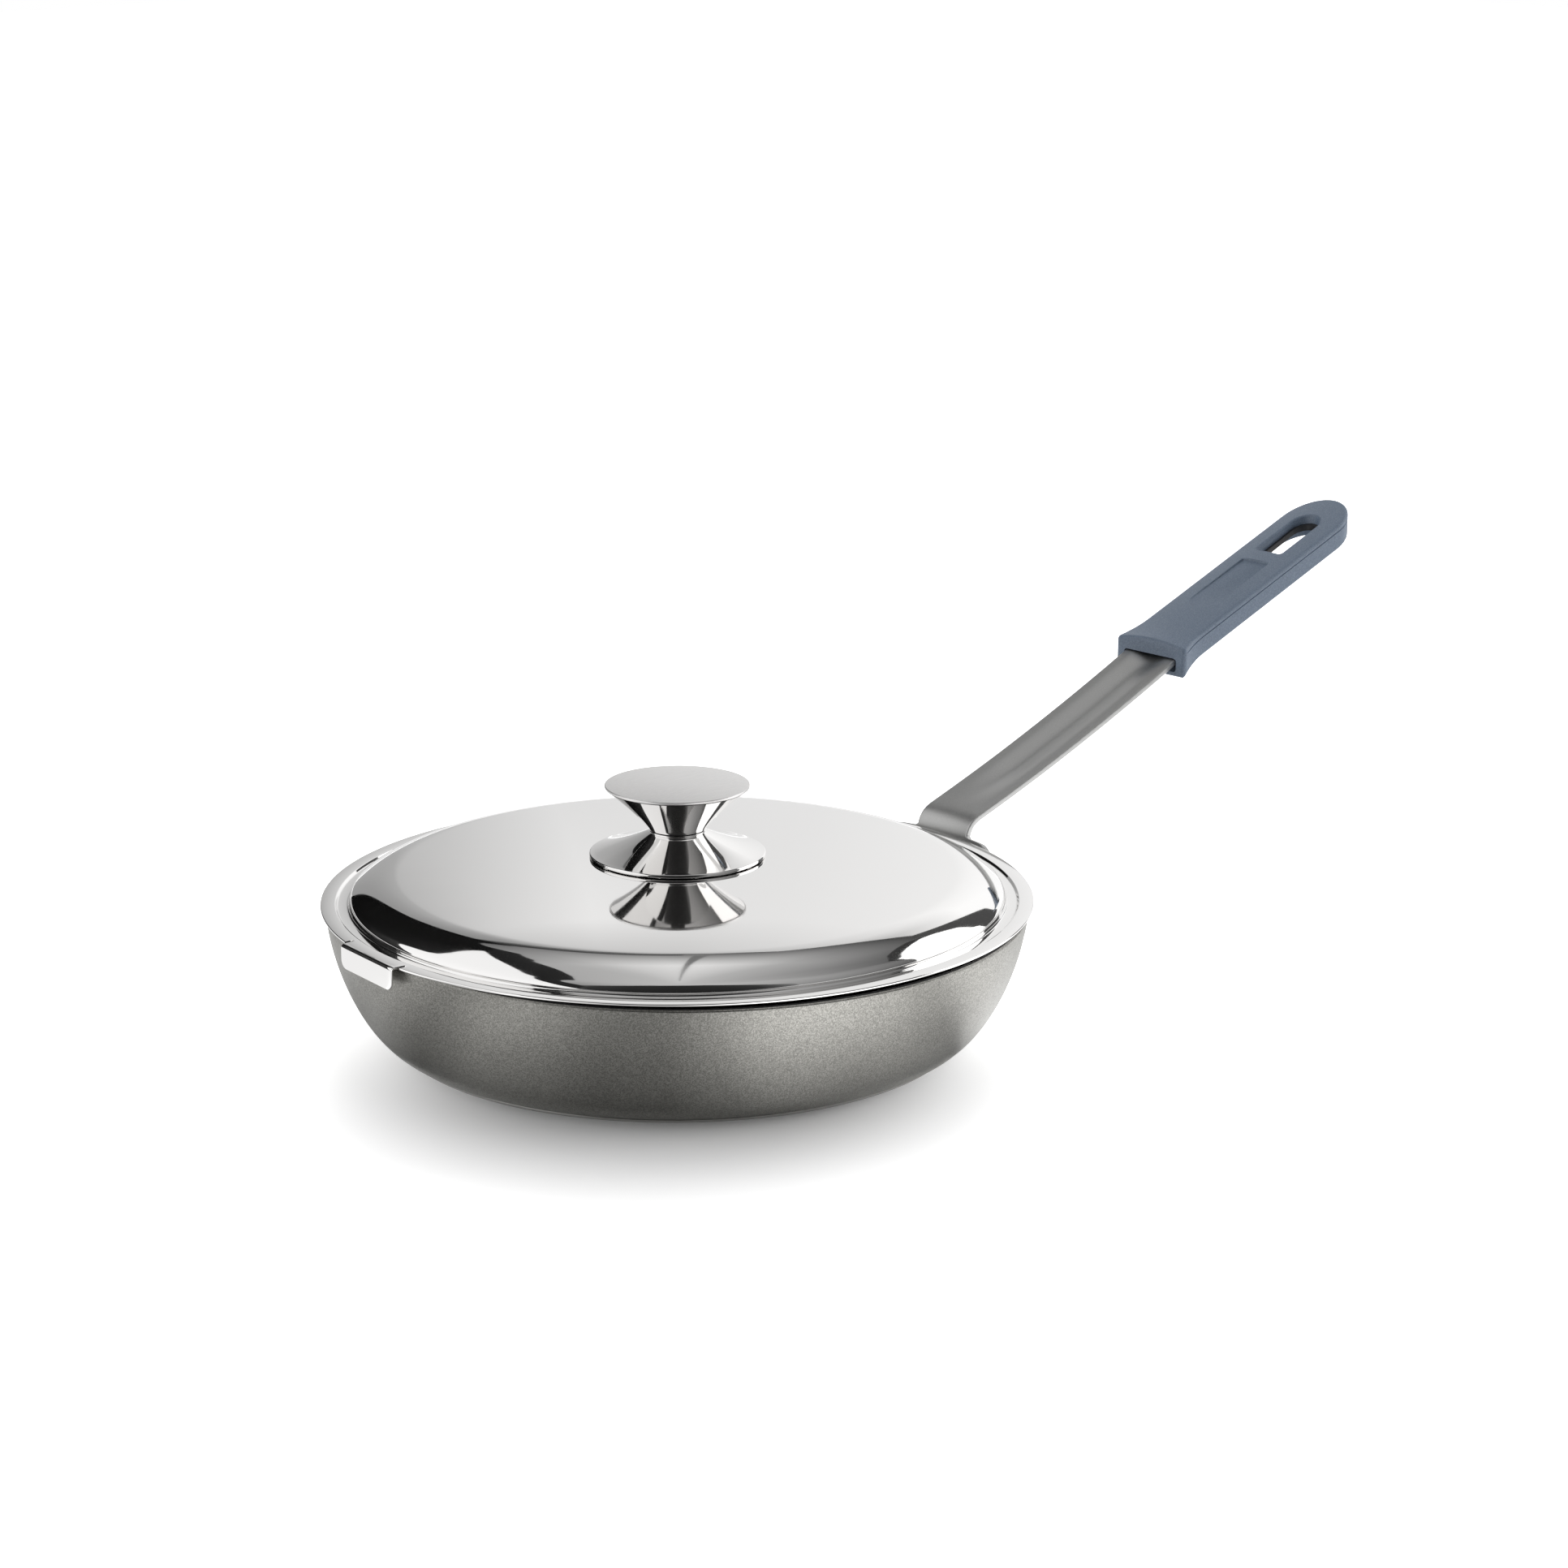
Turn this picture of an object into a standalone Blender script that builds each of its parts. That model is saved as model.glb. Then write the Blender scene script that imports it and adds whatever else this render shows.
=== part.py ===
"""Frying pan with a polished stainless lid, built as separate pieces.

The pan stands on the plane Z = 0 with the centre of its base at the origin. The handle points along +X.
Every size is in metres. The driving sizes come first, and everything that fits takes its place from them.
"""

import math

import bmesh
import bpy
from mathutils import Matrix, Vector

MM = 0.001

# Fits and smoothness of the round pieces
GAP = 0.3 * MM
LARGE_SEGMENTS = 56
SMALL_SEGMENTS = 36
SHARP_ANGLE = math.radians(32)

# Base plate, a steel disc under the aluminium body
BASE_PLATE_INSET = 0.2 * MM
BASE_PLATE_THICKNESS = 1.0 * MM
BASE_PLATE_CHAMFER = 0.25 * MM

# Pan body, whose wall is a quarter of a superellipse
BODY_WALL_SPREAD = 23.1 * MM
BODY_RIM_RADIUS = 120.3 * MM
BODY_WALL_HEIGHT = 46.0 * MM
BODY_CURVE_POWER = 1.6
BODY_WALL = 2.4 * MM
BODY_FLOOR = 3.6 * MM
BODY_RIM_ROUND = 0.5 * MM
BODY_FLOOR_ROUND = 2.0 * MM
BODY_WALL_STEPS = 11
BODY_STEP_POWER = 1.7

# Lid shell, pressed from sheet
LID_SHEET = 0.8 * MM
LID_FLANGE_OVERHANG = 1.7 * MM
LID_FLANGE_EDGE = 0.25 * MM
LID_CROWN_RISE = 14.5 * MM
LID_CROWN_CURVE = 815.0 * MM
LID_TURN_INSET = 17.0 * MM
LID_TURN_RADIUS = 35.0 * MM
LID_GROOVE_WIDTH = 4.7 * MM
LID_SHOULDER_RADIUS = 3.5 * MM
LID_GROOVE_DEPTH = 0.8 * MM
LID_GROOVE_CLEARANCE = 0.9 * MM
LID_GROOVE_SIDE = 0.8 * MM
LID_GROOVE_FILLET = 0.9 * MM
LID_CROWN_STEPS = 5
LID_TURN_STEPS = 4
LID_FILLET_STEPS = 3

# Tab on the lid's flange, bent down over the pan wall
TAB_ANGLE = math.radians(172.3)
TAB_WIDTH = 32.6 * MM
TAB_DROP = 8.0 * MM
TAB_OVERHANG = 1.0 * MM
TAB_BEND_RADIUS = 1.3 * MM
TAB_CORNER_RADIUS = 3.0 * MM
TAB_ROOT = 4.5 * MM
TAB_NOTCH_WIDTH = 1.5 * MM
TAB_NOTCH_DEPTH = 3.4 * MM
TAB_SHEET_INSET = 0.06 * MM

# Knob, two funnels waist to waist with a disc on top
KNOB_SHEET = 1.0 * MM
SKIRT_RADIUS = 30.2 * MM
SKIRT_RIM_HEIGHT = 1.45 * MM
SKIRT_RIM_ROUND = 0.5 * MM
SKIRT_LIP = 1.3 * MM
KNOB_WAIST_RADIUS = 9.7 * MM
KNOB_EDGE = 0.4 * MM
SKIRT_HEIGHT = 9.1 * MM
CONE_HEIGHT = 14.6 * MM
CONE_TOP_INSET = 0.6 * MM
CAP_RADIUS = 24.8 * MM
CAP_RIM_HEIGHT = 0.9 * MM
CAP_CROWN = 1.5 * MM
CAP_EDGE = 0.3 * MM
CAP_SPIGOT = 1.6 * MM
CAP_SPIGOT_INSET = 4.2 * MM

# Knob fixing, a bush drawn down by a screw from under the lid
SCREW_RADIUS = 2.5 * MM
SCREW_LENGTH = 18.0 * MM
SCREW_HEAD_RADIUS = 4.6 * MM
SCREW_HEAD_HEIGHT = 2.8 * MM
SCREW_CHAMFER = 0.4 * MM
SCREW_SOCKET_WIDTH = 3.0 * MM
SCREW_SOCKET_DEPTH = 1.6 * MM
BUSH_INSET = 4.5 * MM
BUSH_COLLAR_INSET = 1.5 * MM
BUSH_COLLAR_HEIGHT = 2.0 * MM
BUSH_TOP_LENGTH = 5.0 * MM
FIXING_SEGMENTS = 24
WASHER_RADIUS = 7.5 * MM
WASHER_THICKNESS = 0.8 * MM
LOCK_WASHER_RADIUS = 4.5 * MM
LOCK_WASHER_THICKNESS = 1.0 * MM
LOCK_WASHER_SPLIT = 0.8 * MM

# Handle strap, from its foot plate on the pan wall to the tongue inside the grip
STRAP_WIDTH = 25.0 * MM
STRAP_THICKNESS = 2.0 * MM
FOOT_BOTTOM_RISE = 6.7 * MM
FOOT_CONTACT_RISE = 22.7 * MM
FOOT_TOP_DROP = 1.3 * MM
FOOT_LID_CLEARANCE = 7.2 * MM
FOOT_TOP_LEAN = 0.27
FOOT_HALF_WIDTH = 30.8 * MM
FOOT_LOWER_CORNER = 7.0 * MM
FOOT_UPPER_CORNER = 12.0 * MM
FOOT_FILLET = 1.0 * MM
FOOT_WRAP_RUN = 48.0 * MM
FLARE_HANDLE = 9.0 * MM
FLARE_STEPS = 8
BEND_RUN = 7.8 * MM
BEND_RISE = 7.85 * MM
BEND_END_SLOPE = 0.338
BEND_HANDLE_LOW = 4.2 * MM
BEND_HANDLE_HIGH = 5.5 * MM
BEND_STEPS = 9
STRAP_CURVE = 0.53
STRAP_RUN = 103.0 * MM
TONGUE_SLOPE = 0.40
TONGUE_STEP = 2.5 * MM
TONGUE_NECK_LENGTH = 13.0 * MM
TONGUE_SHOULDER = 3.0 * MM
TONGUE_END_WALL = 8.3 * MM
GUTTER_DEPTH = 1.5 * MM
GUTTER_HALF_WIDTH = 9.5 * MM
GUTTER_RUN_IN = 31.0 * MM
GUTTER_RUN_OUT = 7.0 * MM
STRAP_COLUMNS = 12

# Rivets that fix the foot plate to the pan wall
RIVET_RADIUS = 2.4 * MM
RIVET_HEAD_RADIUS = 4.8 * MM
RIVET_HEAD_HEIGHT = 1.8 * MM
RIVET_INNER_HEIGHT = 1.4 * MM
RIVET_INNER_EDGE = 0.4 * MM
RIVET_INNER_FLAT_RADIUS = 3.2 * MM
RIVET_SEGMENTS = 20
DRILL_LENGTH = 16.0 * MM
RIVET_SPREAD = math.radians(11.0)
RIVET_RISE = 14.7 * MM
RIVET_NAMES = ("right", "middle", "left")

# Grip, a soft sleeve pushed over the tongue
GRIP_SIDE_WALL = 2.0 * MM
GRIP_ABOVE_TONGUE = 5.4 * MM
GRIP_TAPER = 2.2 * MM
GRIP_THICKNESS = 10.8 * MM
GRIP_CROWN = 1.1 * MM
GRIP_FLARE_CROWN = 0.8 * MM
GRIP_LENGTH = 106.8 * MM
GRIP_FLARE_LENGTH = 15.0 * MM
GRIP_FLARE_SIDE = 3.2 * MM
GRIP_FLARE_TOP = 0.9 * MM
GRIP_FLARE_BOTTOM = 1.6 * MM
GRIP_EDGE_TOP = 0.9 * MM
GRIP_EDGE_BOTTOM = 1.6 * MM
GRIP_FACE_ROUND = 1.6 * MM
GRIP_FACE_INSET = 0.7 * MM
GRIP_MOUTH_CLEARANCE = 0.6 * MM

# Hanging slot through grip and tongue, and the bare name recess on the grip
SLOT_START = 67.0 * MM
SLOT_LENGTH = 27.4 * MM
SLOT_WIDTH = 12.7 * MM
SLOT_LEDGE = 1.1 * MM
SLOT_CORNER = 1.2 * MM
RECESS_START = 25.3 * MM
RECESS_LENGTH = 34.7 * MM
RECESS_WIDTH = 13.0 * MM
RECESS_DEPTH = 0.9 * MM

# Steps of a rounded quarter, and of the half round at the end of tongue and grip
QUARTER_DEGREES = (0, 22, 45, 68, 90)
TONGUE_END_DEGREES = (0, 25, 45, 62, 76)
GRIP_END_DEGREES = (0, 18, 34, 48, 60, 70, 79, 86)

# Radii that follow from the sizes above
BODY_BASE_RADIUS = BODY_RIM_RADIUS - BODY_WALL_SPREAD
BASE_PLATE_RADIUS = BODY_BASE_RADIUS - BASE_PLATE_INSET
LID_FLANGE_RADIUS = BODY_RIM_RADIUS + LID_FLANGE_OVERHANG
LID_GROOVE_OUTER_RADIUS = BODY_RIM_RADIUS - BODY_WALL - LID_GROOVE_CLEARANCE
LID_WALL_RADIUS = LID_GROOVE_OUTER_RADIUS - LID_GROOVE_WIDTH
LID_TURN_START = LID_WALL_RADIUS - LID_TURN_INSET
CONE_TOP_RADIUS = CAP_RADIUS - CONE_TOP_INSET
CAP_SPIGOT_RADIUS = CONE_TOP_RADIUS - CAP_SPIGOT_INSET
BUSH_RADIUS = KNOB_WAIST_RADIUS - BUSH_INSET
BUSH_COLLAR_RADIUS = KNOB_WAIST_RADIUS - BUSH_COLLAR_INSET

# Heights that follow from the sizes above
BODY_BASE_Z = BASE_PLATE_THICKNESS + GAP
BODY_TOP_Z = BODY_BASE_Z + BODY_WALL_HEIGHT
FLANGE_BOTTOM_Z = BODY_TOP_Z + GAP
FLANGE_TOP_Z = FLANGE_BOTTOM_Z + LID_SHEET
LID_APEX_Z = FLANGE_TOP_Z + LID_CROWN_RISE
RIVET_Z = BODY_BASE_Z + RIVET_RISE
FOOT_BOTTOM_Z = BODY_BASE_Z + FOOT_BOTTOM_RISE
FOOT_CONTACT_Z = BODY_BASE_Z + FOOT_CONTACT_RISE
FOOT_TOP_Z = BODY_TOP_Z - FOOT_TOP_DROP
BEND_END_Z = FOOT_TOP_Z + BEND_RISE

# Distances along the handle that follow from the sizes above
FOOT_TOP_REACH = LID_FLANGE_RADIUS + FOOT_LID_CLEARANCE
BEND_END_REACH = FOOT_TOP_REACH + BEND_RUN
GRIP_START_REACH = BEND_END_REACH + STRAP_RUN
GRIP_REAR_REACH = GRIP_START_REACH + GRIP_LENGTH
GRIP_HALF_WIDTH = STRAP_WIDTH / 2 + GRIP_SIDE_WALL
TONGUE_END_REACH = GRIP_REAR_REACH - TONGUE_END_WALL
TONGUE_WIDTH = STRAP_WIDTH - 2 * TONGUE_STEP
SLOT_FRONT_REACH = GRIP_START_REACH + SLOT_START
RECESS_FRONT_REACH = GRIP_START_REACH + RECESS_START


# Helpers


def clear_scene():
    """Removes every object that the file holds."""
    for obj in list(bpy.data.objects):
        bpy.data.objects.remove(obj, do_unlink=True)


def make_material(name, colour, roughness, metallic):
    """Makes a Principled material from a linear colour."""
    material = bpy.data.materials.new(name)
    material.use_nodes = True
    shader = material.node_tree.nodes["Principled BSDF"]
    shader.inputs["Base Color"].default_value = (*colour, 1.0)
    shader.inputs["Roughness"].default_value = roughness
    shader.inputs["Metallic"].default_value = metallic
    return material


def add_object(name, mesh_builder, material=None, parent=None):
    """Turns a bmesh into a named object with outward normals and smooth shading."""
    bmesh.ops.recalc_face_normals(mesh_builder, faces=mesh_builder.faces)
    mesh = bpy.data.meshes.new(name)
    mesh_builder.to_mesh(mesh)
    mesh_builder.free()
    mesh.shade_smooth()
    mesh.set_sharp_from_angle(angle=SHARP_ANGLE)
    obj = bpy.data.objects.new(name, mesh)
    bpy.context.scene.collection.objects.link(obj)
    if material is not None:
        mesh.materials.append(material)
    if parent is not None:
        obj.parent = parent
    return obj


def add_empty(name, location):
    """Adds an empty that carries the pieces of one moving group."""
    empty = bpy.data.objects.new(name, None)
    empty.location = location
    bpy.context.scene.collection.objects.link(empty)
    return empty


def guide(obj):
    """Marks an object as a cutter or a guide, which isn't a piece."""
    obj.hide_render = True
    obj.display_type = "WIRE"
    return obj


def combine(obj, other, operation):
    """Adds an exact Boolean with a guide object."""
    guide(other)
    modifier = obj.modifiers.new(f"{operation.lower()}_{other.name}", "BOOLEAN")
    modifier.operation = operation
    modifier.solver = "EXACT"
    modifier.object = other


def spin_profile(profile, segments, closed):
    """Turns a profile of (radius, height) points about Z."""
    builder = bmesh.new()
    verts = [builder.verts.new((radius, 0.0, height)) for radius, height in profile]
    edges = [builder.edges.new(pair) for pair in zip(verts, verts[1:])]
    if closed:
        edges.append(builder.edges.new((verts[-1], verts[0])))
    bmesh.ops.spin(
        builder,
        geom=verts + edges,
        cent=(0, 0, 0),
        axis=(0, 0, 1),
        angle=2 * math.pi,
        steps=segments,
        use_merge=True,
    )
    bmesh.ops.remove_doubles(builder, verts=builder.verts, dist=1e-6)
    return builder


def offset_profile(profile, distance):
    """Moves an open profile sideways, to its right as it is walked, by mitred steps."""
    points = [Vector(point) for point in profile]
    moved = []
    for index, point in enumerate(points):
        before = points[max(index - 1, 0)]
        after = points[min(index + 1, len(points) - 1)]
        normals = []
        for start, end in ((before, point), (point, after)):
            along = end - start
            if along.length > 1e-9:
                along.normalize()
                normals.append(Vector((along.y, -along.x)))
        mitre = sum(normals, Vector((0.0, 0.0))).normalized()
        moved.append(point + mitre * distance / max(mitre.dot(normals[0]), 0.5))
    return [tuple(point) for point in moved]


def arc(centre, radius, start, end, steps):
    """Points of a circular arc between two angles, both ends included."""
    angles = [start + (end - start) * step / steps for step in range(steps + 1)]
    return [(centre[0] + radius * math.cos(a), centre[1] + radius * math.sin(a)) for a in angles]


def loft(sections, close_ends=True):
    """Joins closed sections of equal point counts into one skin."""
    builder = bmesh.new()
    rings = [[builder.verts.new(point) for point in section] for section in sections]
    count = len(rings[0])
    for low, high in zip(rings, rings[1:]):
        for index in range(count):
            following = (index + 1) % count
            builder.faces.new((low[index], low[following], high[following], high[index]))
    if close_ends:
        builder.faces.new(rings[0])
        builder.faces.new(rings[-1])
    return builder


def smooth_step(value):
    """Eases from 0 to 1."""
    value = min(max(value, 0.0), 1.0)
    return value * value * (3 - 2 * value)


# Pan body and base plate


def wall_radius(height):
    """Outer radius of the pan wall at a height above the ground."""
    share = min(max((height - BODY_BASE_Z) / BODY_WALL_HEIGHT, 0.0), 1.0)
    curve = (1 - (1 - share) ** BODY_CURVE_POWER) ** (1 / BODY_CURVE_POWER)
    return BODY_BASE_RADIUS + (BODY_RIM_RADIUS - BODY_BASE_RADIUS) * curve


def wall_slope(height):
    """Outward lean of the pan wall, as radius per height."""
    step = 0.5 * MM
    return (wall_radius(height + step) - wall_radius(height - step)) / (2 * step)


def build_base_plate(material):
    """A flat steel disc with a small chamfer round both edges."""
    inner = BASE_PLATE_RADIUS - BASE_PLATE_CHAMFER
    profile = [
        (0.0, 0.0),
        (inner, 0.0),
        (BASE_PLATE_RADIUS, BASE_PLATE_CHAMFER),
        (BASE_PLATE_RADIUS, BASE_PLATE_THICKNESS - BASE_PLATE_CHAMFER),
        (inner, BASE_PLATE_THICKNESS),
        (0.0, BASE_PLATE_THICKNESS),
    ]
    return add_object("base_plate", spin_profile(profile, LARGE_SEGMENTS, False), material)


def body_profile():
    """Outline of the pan's section, outer wall first, then rim and inner wall."""
    outer = []
    for step in range(BODY_WALL_STEPS + 1):
        share = (step / BODY_WALL_STEPS) ** BODY_STEP_POWER
        height = BODY_BASE_Z + BODY_WALL_HEIGHT * share
        outer.append((wall_radius(height), height))
    inner = offset_profile(outer, -BODY_WALL)
    floor_z = BODY_BASE_Z + BODY_FLOOR
    inner = [point for point in inner if point[1] > floor_z + BODY_FLOOR_ROUND / 2]
    inner[-1] = (inner[-1][0], BODY_TOP_Z)
    rim = [
        (outer[-1][0], BODY_TOP_Z - BODY_RIM_ROUND),
        (outer[-1][0] - BODY_RIM_ROUND, BODY_TOP_Z),
        (inner[-1][0] + BODY_RIM_ROUND, BODY_TOP_Z),
        (inner[-1][0], BODY_TOP_Z - BODY_RIM_ROUND),
    ]
    floor_corner = (inner[0][0] - BODY_FLOOR_ROUND, floor_z)
    return [(0.0, BODY_BASE_Z), *outer[:-1], *rim, *reversed(inner[:-1]), floor_corner, (0.0, floor_z)]


def build_pan_body(material):
    """The pressed pan, drilled for its handle rivets."""
    body = add_object("pan_body", spin_profile(body_profile(), LARGE_SEGMENTS, False), material)
    for number, (angle, height) in enumerate(rivet_places(), start=1):
        combine(body, rivet_cutter(f"body_hole_{number}", angle, height), "DIFFERENCE")
    return body


# Handle rivets


def rivet_places():
    """Angle round the pan and height of each rivet."""
    return [(-RIVET_SPREAD, RIVET_Z), (0.0, RIVET_Z), (RIVET_SPREAD, RIVET_Z)]


def rivet_frame(angle, height):
    """Transform from a rivet's own axis to its place on the pan wall."""
    lean = math.atan(wall_slope(height))
    turn = Matrix.Rotation(angle, 4, "Z")
    tilt = Matrix.Rotation(math.pi / 2 + lean, 4, "Y")
    return turn @ Matrix.Translation((wall_radius(height), 0.0, height)) @ tilt


def rivet_cutter(name, angle, height):
    """A drill through wall and foot plate."""
    builder = bmesh.new()
    bmesh.ops.create_cone(
        builder,
        cap_ends=True,
        segments=RIVET_SEGMENTS,
        radius1=RIVET_RADIUS + GAP,
        radius2=RIVET_RADIUS + GAP,
        depth=DRILL_LENGTH,
    )
    cutter = add_object(name, builder)
    cutter.matrix_world = rivet_frame(angle, height)
    return guide(cutter)


def rivet_profile():
    """Section of one rivet: a low head inside the pan and a domed head outside."""
    inner_face = -(BODY_WALL + GAP + GAP / 2)
    outer_face = GAP + STRAP_THICKNESS + GAP + GAP / 2
    head = RIVET_HEAD_RADIUS
    rise = RIVET_HEAD_HEIGHT
    dome_radius = (head * head + rise * rise) / (2 * rise)
    half_angle = math.asin(head / dome_radius)
    top = arc((0.0, outer_face + rise - dome_radius), dome_radius, math.pi / 2 - half_angle, math.pi / 2, 4)
    return [
        (0.0, inner_face - RIVET_INNER_HEIGHT),
        (RIVET_INNER_FLAT_RADIUS, inner_face - RIVET_INNER_HEIGHT),
        (head, inner_face - RIVET_INNER_EDGE),
        (head, inner_face),
        (RIVET_RADIUS, inner_face),
        (RIVET_RADIUS, outer_face),
        *top[:-1],
        (0.0, top[-1][1]),
    ]


def build_rivets(material):
    """One rivet in each place."""
    for (angle, height), place in zip(rivet_places(), RIVET_NAMES):
        rivet = add_object(f"rivet_{place}", spin_profile(rivet_profile(), RIVET_SEGMENTS, False), material)
        rivet.matrix_world = rivet_frame(angle, height)


# Handle strap


def bezier(start, low, high, end, t):
    """Point (reach, height) on a cubic Bezier curve."""
    point = start * (1 - t) ** 3 + low * 3 * t * (1 - t) ** 2 + high * 3 * t * t * (1 - t) + end * t**3
    return point.x, point.y


def flare_points():
    """Stations where the foot plate leaves the wall and leans out past the lid, close at its top."""
    along_wall = Vector((wall_slope(FOOT_CONTACT_Z), 1.0)).normalized()
    lean = Vector((FOOT_TOP_LEAN, 1.0)).normalized()
    start = Vector((foot_radius(FOOT_CONTACT_Z), FOOT_CONTACT_Z))
    end = Vector((FOOT_TOP_REACH, FOOT_TOP_Z))
    handles = (start + along_wall * FLARE_HANDLE, end - lean * FLARE_HANDLE)
    turns = [math.pi / 2 * step / FLARE_STEPS for step in range(FLARE_STEPS + 1)]
    return [bezier(start, *handles, end, math.sin(turn)) for turn in turns]


def bend_points():
    """Stations along the bend from the foot plate to the strap."""
    lean = Vector((FOOT_TOP_LEAN, 1.0)).normalized()
    out = Vector((1.0, BEND_END_SLOPE)).normalized()
    start = Vector((FOOT_TOP_REACH, FOOT_TOP_Z))
    end = Vector((BEND_END_REACH, BEND_END_Z))
    handles = (start + lean * BEND_HANDLE_LOW, end - out * BEND_HANDLE_HIGH)
    shares = [0.1 / BEND_STEPS, *(step / BEND_STEPS for step in range(1, BEND_STEPS + 1))]
    return [bezier(start, *handles, end, share) for share in shares]


def foot_radius(height):
    """Inner radius of the foot plate, which lies on the pan wall with a gap."""
    return wall_radius(height) + GAP * math.hypot(1.0, wall_slope(height))


def strap_height(reach):
    """Top face of the strap and its tongue at a distance from the pan's axis."""
    run = min(reach, GRIP_START_REACH) - BEND_END_REACH
    height = BEND_END_Z + BEND_END_SLOPE * run + STRAP_CURVE * run * run
    return height + TONGUE_SLOPE * max(reach - GRIP_START_REACH, 0.0)


def strap_path():
    """Stations of the strap: (reach, height, half width, share of wrap, share of gutter)."""
    half = STRAP_WIDTH / 2
    stations = []
    for angle in QUARTER_DEGREES:
        height = FOOT_BOTTOM_Z + FOOT_LOWER_CORNER * (1 - math.cos(math.radians(angle)))
        inset = FOOT_LOWER_CORNER * (1 - math.sin(math.radians(angle)))
        stations.append((foot_radius(height), height, FOOT_HALF_WIDTH - inset, 1.0, 0.0))
    corner_z = FOOT_BOTTOM_Z + FOOT_LOWER_CORNER
    for share in (1 / 3, 2 / 3):
        height = corner_z + share * (FOOT_CONTACT_Z - corner_z)
        stations.append((foot_radius(height), height, FOOT_HALF_WIDTH, 1.0, 0.0))
    for reach, height in flare_points():
        stations.append((reach, height, FOOT_HALF_WIDTH - shoulder_inset(height), 1.0, 0.0))
    for reach, height in bend_points():
        fillet = FOOT_FILLET * (1 - smooth_step((height - FOOT_TOP_Z) / FOOT_FILLET))
        stations.append((reach, height, half + fillet, None, 0.0))
    curve_run = GRIP_START_REACH - BEND_END_REACH
    for share in (0.05, 0.12, 0.22, 0.35, 0.5, 0.65, 0.8, 0.92, 1.0):
        reach = BEND_END_REACH + share * curve_run
        gutter = smooth_step((reach - BEND_END_REACH) / GUTTER_RUN_IN)
        stations.append((reach, strap_height(reach), half, None, gutter))
    neck_end = GRIP_START_REACH + TONGUE_NECK_LENGTH
    tongue = TONGUE_WIDTH / 2
    flat = neck_end + GUTTER_RUN_OUT
    for reach, width in ((neck_end, half), (neck_end + TONGUE_SHOULDER, tongue), (flat, tongue)):
        gutter = smooth_step((flat - reach) / (flat - GRIP_START_REACH))
        stations.append((reach, strap_height(reach), width, None, gutter))
    round_start = TONGUE_END_REACH - tongue
    for angle in TONGUE_END_DEGREES:
        reach = round_start + tongue * math.sin(math.radians(angle))
        width = tongue * math.cos(math.radians(angle))
        stations.append((reach, strap_height(reach), width, None, 0.0))
    return [with_wrap(station) for station in stations]


def with_wrap(station):
    """Fills in how far a station still follows the pan's round wall."""
    reach, height, half, wrap, gutter = station
    if wrap is None:
        wrap = 1.0 - smooth_step((reach - FOOT_TOP_REACH) / FOOT_WRAP_RUN)
    return reach, height, half, wrap, gutter


def shoulder_inset(height):
    """How far the plate's rounded upper corner lies inside its full width."""
    rise = max(height - (FOOT_TOP_Z - FOOT_UPPER_CORNER), 0.0)
    return FOOT_UPPER_CORNER - math.sqrt(max(FOOT_UPPER_CORNER**2 - rise**2, 0.0))


def gutter_drop(across):
    """Depth of the pressed gutter at a distance from the strap's middle."""
    share = min(abs(across) / GUTTER_HALF_WIDTH, 1.0)
    return GUTTER_DEPTH * 0.5 * (1 + math.cos(math.pi * share))


def strip(stations, thickness, columns, lift=0.0):
    """Skins a strip along stations, its upper face on them and its thickness below."""
    sections = []
    for index, (reach, height, half, wrap, gutter) in enumerate(stations):
        before = stations[max(index - 1, 0)]
        after = stations[min(index + 1, len(stations) - 1)]
        along = Vector((after[0] - before[0], after[1] - before[1])).normalized()
        normal = Vector((along.y, -along.x))
        upper, lower = [], []
        for column in range(columns + 1):
            across = half * (2 * column / columns - 1)
            for face, depth in ((upper, -lift), (lower, thickness - lift)):
                sunk = depth + gutter * gutter_drop(across)
                radial = reach + normal.x * sunk
                turned = across / reach
                flat = Vector((radial, across, 0.0))
                rolled = Vector((radial * math.cos(turned), radial * math.sin(turned), 0.0))
                point = flat.lerp(rolled, wrap)
                point.z = height + normal.y * sunk
                face.append(point)
        sections.append(upper + list(reversed(lower)))
    return loft(sections)


def build_handle_strap(material):
    """The pressed steel strap with its riveted foot plate and its hanging hole."""
    strap = add_object("handle_strap", strip(strap_path(), STRAP_THICKNESS, STRAP_COLUMNS), material)
    for number, (angle, height) in enumerate(rivet_places(), start=1):
        combine(strap, rivet_cutter(f"plate_hole_{number}", angle, height), "DIFFERENCE")
    combine(strap, slot_cutter("tongue_slot_cutter", SLOT_LEDGE), "DIFFERENCE")
    return strap


# Grip


def grip_top(reach):
    """Height of the grip's top along its middle."""
    share = (reach - GRIP_START_REACH) / (GRIP_REAR_REACH - GRIP_START_REACH)
    return strap_height(reach) + GRIP_ABOVE_TONGUE - GRIP_TAPER * share


def grip_tilt():
    """Slope angle of the grip's top face."""
    rise = grip_top(GRIP_REAR_REACH) - grip_top(SLOT_FRONT_REACH)
    return math.atan2(rise, GRIP_REAR_REACH - SLOT_FRONT_REACH)


def grip_flare(reach):
    """Share of the front flare that is left at a distance from the pan's axis."""
    run = (reach - GRIP_START_REACH) / GRIP_FLARE_LENGTH
    return max(1.0 - run, 0.0) ** 2


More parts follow.
